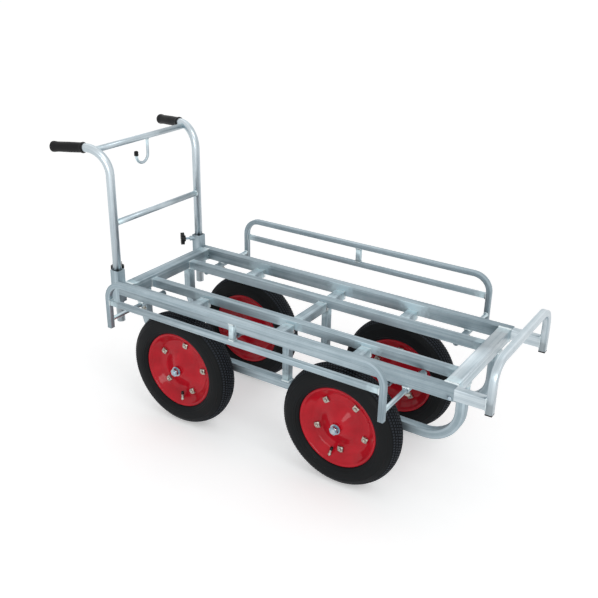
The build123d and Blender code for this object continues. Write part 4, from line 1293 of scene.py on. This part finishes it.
class CART_OT_tyres(bpy.types.Operator):
    """Makes the four pneumatic tyres with their tread"""
    bl_idname = "cart.tyres"
    bl_label = "Tyres"

    def execute(self, context):
        sizes = context.scene.cart_sizes
        spacing = sizes.tread_spacing
        band = [(aside, BAND_RADIUS - BAND_CROWN * aside * aside) for aside in BAND_STATIONS]
        profile = rounded([*band, *TYRE_SIDE], reach=1.6, steps=3) + list(TYRE_INSIDE)
        profile += faced(reversed(profile[1:-1]), -1.0)
        # The blocks end this far inside the CAD tyre's radius, and their roots are sunk into the carcass.
        shy, root = 0.15 * MM, 1.2 * MM
        # A block takes this share of the way to the next one, round the tyre and across it.
        length_share, width_share = 0.74, 0.78
        for corner in CORNERS:
            node = "tyre_" + corner
            low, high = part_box(node)
            centre = (low + high) / 2
            reach = (high.x - low.x) / 2 - shy
            pitch = math.tau * reach / sizes.tread_blocks
            carcass = placed(node + "_carcass", turned(profile, centre, steps=144))
            mesh = worked(carcass, tread_tree(), {
                "Blocks": sizes.tread_blocks, "Rows": sizes.tread_rows, "Radius": reach,
                "Row Spacing": spacing, "Crown Drop": BAND_CROWN * spacing ** 2 / MM,
                "Row Tilt": 2 * BAND_CROWN * spacing / MM, "Block Length": length_share * pitch,
                "Block Width": width_share * spacing, "Block Height": sizes.tread_depth + root,
                "Centre": centre,
                "Material": finish_of(context, "vulcanised_tyre_rubber")})
            fitted(context, mesh, node + "_treaded", "wheel_" + corner, "tyre_rubber", [node], angle=28)
        return {"FINISHED"}


class CART_OT_rims(bpy.types.Operator):
    """Makes the pressed rims, the hubs and the valves"""
    bl_idname = "cart.rims"
    bl_label = "Rims"

    def execute(self, context):
        sizes = context.scene.cart_sizes
        disc = rounded(RIM_SHOWN, reach=4.0, steps=5) + rounded(RIM_HIDDEN, reach=3.0, steps=5)
        hub = both_ways(rounded(HUB_HALF, reach=4.0, steps=5))
        stem = rounded(VALVE_STEM, reach=0.6, steps=3)
        dust_cap = rounded(DUST_CAP, reach=0.8, steps=3)
        for corner in CORNERS:
            body = "wheel_" + corner
            centre = centre_of("tyre_" + corner)
            outer = way_out(corner)
            halves = [turned(faced(disc, face), centre, steps=112) for face in FACES]
            fitted(context, joined(halves), "rim_" + corner + "_pressed", body, "red_enamel",
                   ["rim_discs_" + corner], angle=40)
            fitted(context, turned(hub, centre, steps=64), "hub_" + corner + "_turned", body, "red_enamel",
                   ["hub_" + corner], angle=40)
            phase = sizes.front_valve_phase if corner.startswith("front") else sizes.rear_valve_phase
            phase *= -outer
            inward = -Vector((math.cos(phase), 0.0, math.sin(phase)))
            foot = centre - inward * sizes.valve_circle + unit(Y) * outer * sizes.valve_offset
            valve = turned(stem, foot, steps=24, facing=inward, closed=False)
            fitted(context, valve, "valve_" + corner, body, "zinc_steel", [], angle=40,
                   finish="dulled_zinc_steel")
            cap = turned(dust_cap, foot, steps=24, facing=inward, closed=False)
            fitted(context, cap, "valve_cap_" + corner, body, "black_plastic", [], angle=40)
        return {"FINISHED"}


class CART_OT_fasteners(bpy.types.Operator):
    """Makes the rim bolts, the axles and their washers and nuts"""
    bl_idname = "cart.fasteners"
    bl_label = "Fasteners"

    def execute(self, context):
        sizes = context.scene.cart_sizes
        bolt_end = rounded(RIM_BOLT_END, reach=0.4, steps=2)
        for corner in CORNERS:
            phase = sizes.front_bolt_phase if corner.startswith("front") else sizes.rear_bolt_phase
            nuts = [nut(**RIM_NUT, foot=face * 2.6, top=face * 9.1, centre=ORIGIN) for face in FACES]
            collars = [turned(faced(RIM_NUT_COLLAR, face), ORIGIN, steps=20) for face in FACES]
            ends = [turned(faced(bolt_end, face), ORIGIN, steps=16, closed=False) for face in FACES]
            bolt = placed("rim_bolt", joined(nuts + collars + ends))
            holder = placed("rim_bolts", bpy.data.meshes.new("rim_bolts"))
            mesh = worked(holder, ring_tree(), {
                "Part": bolt, "Count": sizes.bolt_count, "Radius": sizes.bolt_circle,
                "Phase": -way_out(corner) * phase, "Centre": centre_of("tyre_" + corner),
                "Material": finish_of(context, "dulled_zinc_steel")})
            bpy.data.objects.remove(bolt)
            fitted(context, mesh, "rim_bolts_" + corner, "wheel_" + corner, "zinc_steel",
                   ["wheel_bolts_" + corner], angle=30, finish="dulled_zinc_steel")

        washer = rounded(AXLE_WASHER, reach=0.6, steps=3)
        meshes = []
        for end in ENDS:
            node = "axle_" + end
            low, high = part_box(node)
            centre = (low + high) / 2
            reach = (high.y - low.y) / 2 / MM
            # The thread's end is chamfered down to a point. Each of its turns is a crest and a root.
            crest, root, point, chamfer = 7.9, 6.9, 6.4, 1.4
            pitch, turns, length = 2.0, 6, 15.0
            half = [(reach, 0.0), (reach, point), (reach - chamfer, crest)]
            for turn in range(turns):
                ridge = reach - pitch - pitch * turn
                half += [(ridge, crest), (ridge - pitch / 2, root)]
            half += [(reach - length, crest), *AXLE_COLLAR]
            axle = turned(both_ways(half), centre, steps=40, closed=False)
            fitted(context, axle, node + "_turned", "chassis", "zinc_steel", [node], angle=30)
            for face in FACES:
                meshes.append(turned(faced(washer, face), centre, steps=48))
                meshes.append(nut(**AXLE_NUT, foot=face * 205.4, top=face * 215.4, centre=centre))
        fitted(context, joined(meshes), "axle_nuts_and_washers", "chassis", "zinc_steel", ["axle_fasteners"],
               angle=30)
        return {"FINISHED"}


class CART_OT_welds(bpy.types.Operator):
    """Lays the weld beads where tubes meet"""
    bl_idname = "cart.welds"
    bl_label = "Weld Beads"

    def execute(self, context):
        sizes = context.scene.cart_sizes
        beads = {}
        # The reach and rise of beads in corners, slight ones, ones between level faces and flat ones.
        fillet = sizes.fillet_leg, sizes.fillet_leg
        slight = sizes.slight_leg, sizes.slight_leg
        butt = sizes.butt_reach, sizes.butt_rise
        flat = sizes.slight_leg, 0.6 * sizes.butt_rise

        def lay(body, axis, loop, size):
            """Keeps a loop for the bead that is laid along it."""
            beads.setdefault(body, {}).setdefault((axis, *size), []).append(loop)

        def lay_ends(body, axis, low, high, size):
            """Keeps the loops round both ends of a box."""
            for place in (low[axis], high[axis]):
                lay(body, axis, frame_round(low, high, axis, place), size)

        for node in ("side_ties", "centre_tie", "front_cross_tube", "rear_cross_tube"):
            for low, high in solids(node):
                lay_ends("chassis", Y, low, high, butt)
        for side in SIDES:
            lay_ends("chassis", X, *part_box("inner_rail_" + side), butt)
            low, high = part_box("underframe_" + side)
            size = high.y - low.y
            for start in (low.x, high.x - size):
                box = Vector((start, low.y, low.z)), Vector((start + size, high.y, high.z))
                lay("chassis", Z, frame_round(*box, Z, high.z), fillet)
            rail_low, rail_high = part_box("outer_rail_" + side)
            for low, high in solids("guard_sleeves_" + side):
                # The bead lies where the round sleeve is this share of its height wide on each side.
                middle, foot = (low.x + high.x) / 2, 0.4 * (high.z - low.z)
                box = Vector((middle - foot, rail_low.y, low.z)), Vector((middle + foot, rail_high.y, high.z))
                lay("chassis", Z, frame_round(*box, Z, high.z - sizes.fillet_leg / 2), fillet)
        for low, high in solids("middle_posts"):
            lay_ends("chassis", Z, low, high, fillet)

        leg_low, leg_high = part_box("front_frame_tube")
        size = leg_high.x - leg_low.x
        for low, high in solids("front_arms"):
            inner = leg_low.y if low.y < 0 else leg_high.y - size
            near, far = max(low.y, inner), min(high.y, inner + size)
            box = Vector((low.x, near, low.z)), Vector((high.x, far, high.z))
            lay("front_frame", X, frame_round(*box, X, high.x), slight)

        for side in SIDES:
            body = "guard_" + side
            lay_ends(body, X, *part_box("guard_mid_rail_" + side), flat)
            lay_ends(body, Z, *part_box("guard_strut_" + side), flat)
            for low, high in solids("guard_rods_" + side):
                centre = (low + high) / 2
                centre.y = low.y if side == "right" else high.y
                lay(body, Y, ring_round(centre, (high.x - low.x) / 2, Y), slight)

        # The handle's beads are sunk a little, so that their crowns stand out of the tubes' round sides.
        bar_sunk, hook_sunk = 2.0 * MM, 1.5 * MM
        for side in SIDES:
            route, _, radius = handle_route(context, side)
            tail = route[0]
            outer = way_out(side)
            low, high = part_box("lower_bar")
            bar = (high.z - low.z) / 2
            ring = ring_round((tail.x, 0.0, (low.z + high.z) / 2), bar, Y)
            for point in ring:
                point.y = tail.y - outer * math.sqrt(radius ** 2 - (point.x - tail.x) ** 2)
            lay("handle", Y, ring, slight)
            low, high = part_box("upper_bar")
            centre = (low + high) / 2
            centre.y = (high.y if outer > 0 else low.y) - outer * bar_sunk
            lay("handle", Y, ring_round(centre, bar, Y), slight)
        low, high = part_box("hook")
        rod = high.x - low.x
        centre = Vector(((low.x + high.x) / 2, high.y - rod / 2, high.z - hook_sunk))
        lay("handle", Z, ring_round(centre, rod / 2, Z), slight)

        for body, groups in beads.items():
            meshes = []
            for (axis, reach, rise), loops in groups.items():
                meshes.append(worked(routed("welds_" + body, loops, is_loop=True), weld_tree(), {
                    "Reach": reach, "Rise": rise, "Ripple": sizes.weld_pitch, "Across": unit(axis),
                    "Material": finish_of(context, "weld_bead_aluminium")}))
            mesh = outward(joined(meshes))
            for vert in mesh.vertices:
                vert.co = [min(max(value, low), high) for value, low, high in zip(vert.co, *cad_box)]
            fitted(context, mesh, "welds_" + body, body, "aluminium_tube", [], angle=60,
                   finish="weld_bead_aluminium")
        return {"FINISHED"}


class CART_PT_panel(bpy.types.Panel):
    """Lists the cart's pieces and their sizes"""
    bl_idname = "CART_PT_panel"
    bl_label = "Greenhouse Cart"
    bl_space_type = "VIEW_3D"
    bl_region_type = "UI"
    bl_category = "Cart"

    def draw(self, context):
        for operator in OPERATORS:
            self.layout.operator(operator.bl_idname)
        for group in (context.scene.cart_sizes, context.scene.cart_colours, context.scene.cart_stage):
            box = self.layout.box()
            for name in group.bl_rna.properties.keys():
                if name not in ("name", "rna_type"):
                    box.prop(group, name)


OPERATORS = (CART_OT_stage, CART_OT_deck, CART_OT_guards, CART_OT_front_frame, CART_OT_handle,
             CART_OT_sleeves, CART_OT_tyres, CART_OT_rims, CART_OT_fasteners, CART_OT_welds)
GROUPS = (CartSizes, CartColours, CartStage)


def register():
    for item in (*GROUPS, *OPERATORS, CART_PT_panel):
        bpy.utils.register_class(item)
    bpy.types.Scene.cart_sizes = bpy.props.PointerProperty(type=CartSizes)
    bpy.types.Scene.cart_colours = bpy.props.PointerProperty(type=CartColours)
    bpy.types.Scene.cart_stage = bpy.props.PointerProperty(type=CartStage)


def unregister():
    del bpy.types.Scene.cart_sizes
    del bpy.types.Scene.cart_colours
    del bpy.types.Scene.cart_stage
    for item in reversed((*GROUPS, *OPERATORS, CART_PT_panel)):
        bpy.utils.unregister_class(item)


def main():
    register()
    bpy.ops.cart.stage()
    bpy.ops.cart.deck()
    bpy.ops.cart.guards()
    bpy.ops.cart.front_frame()
    bpy.ops.cart.handle()
    bpy.ops.cart.sleeves()
    bpy.ops.cart.tyres()
    bpy.ops.cart.rims()
    bpy.ops.cart.fasteners()
    bpy.ops.cart.welds()


if __name__ == "__main__":
    main()
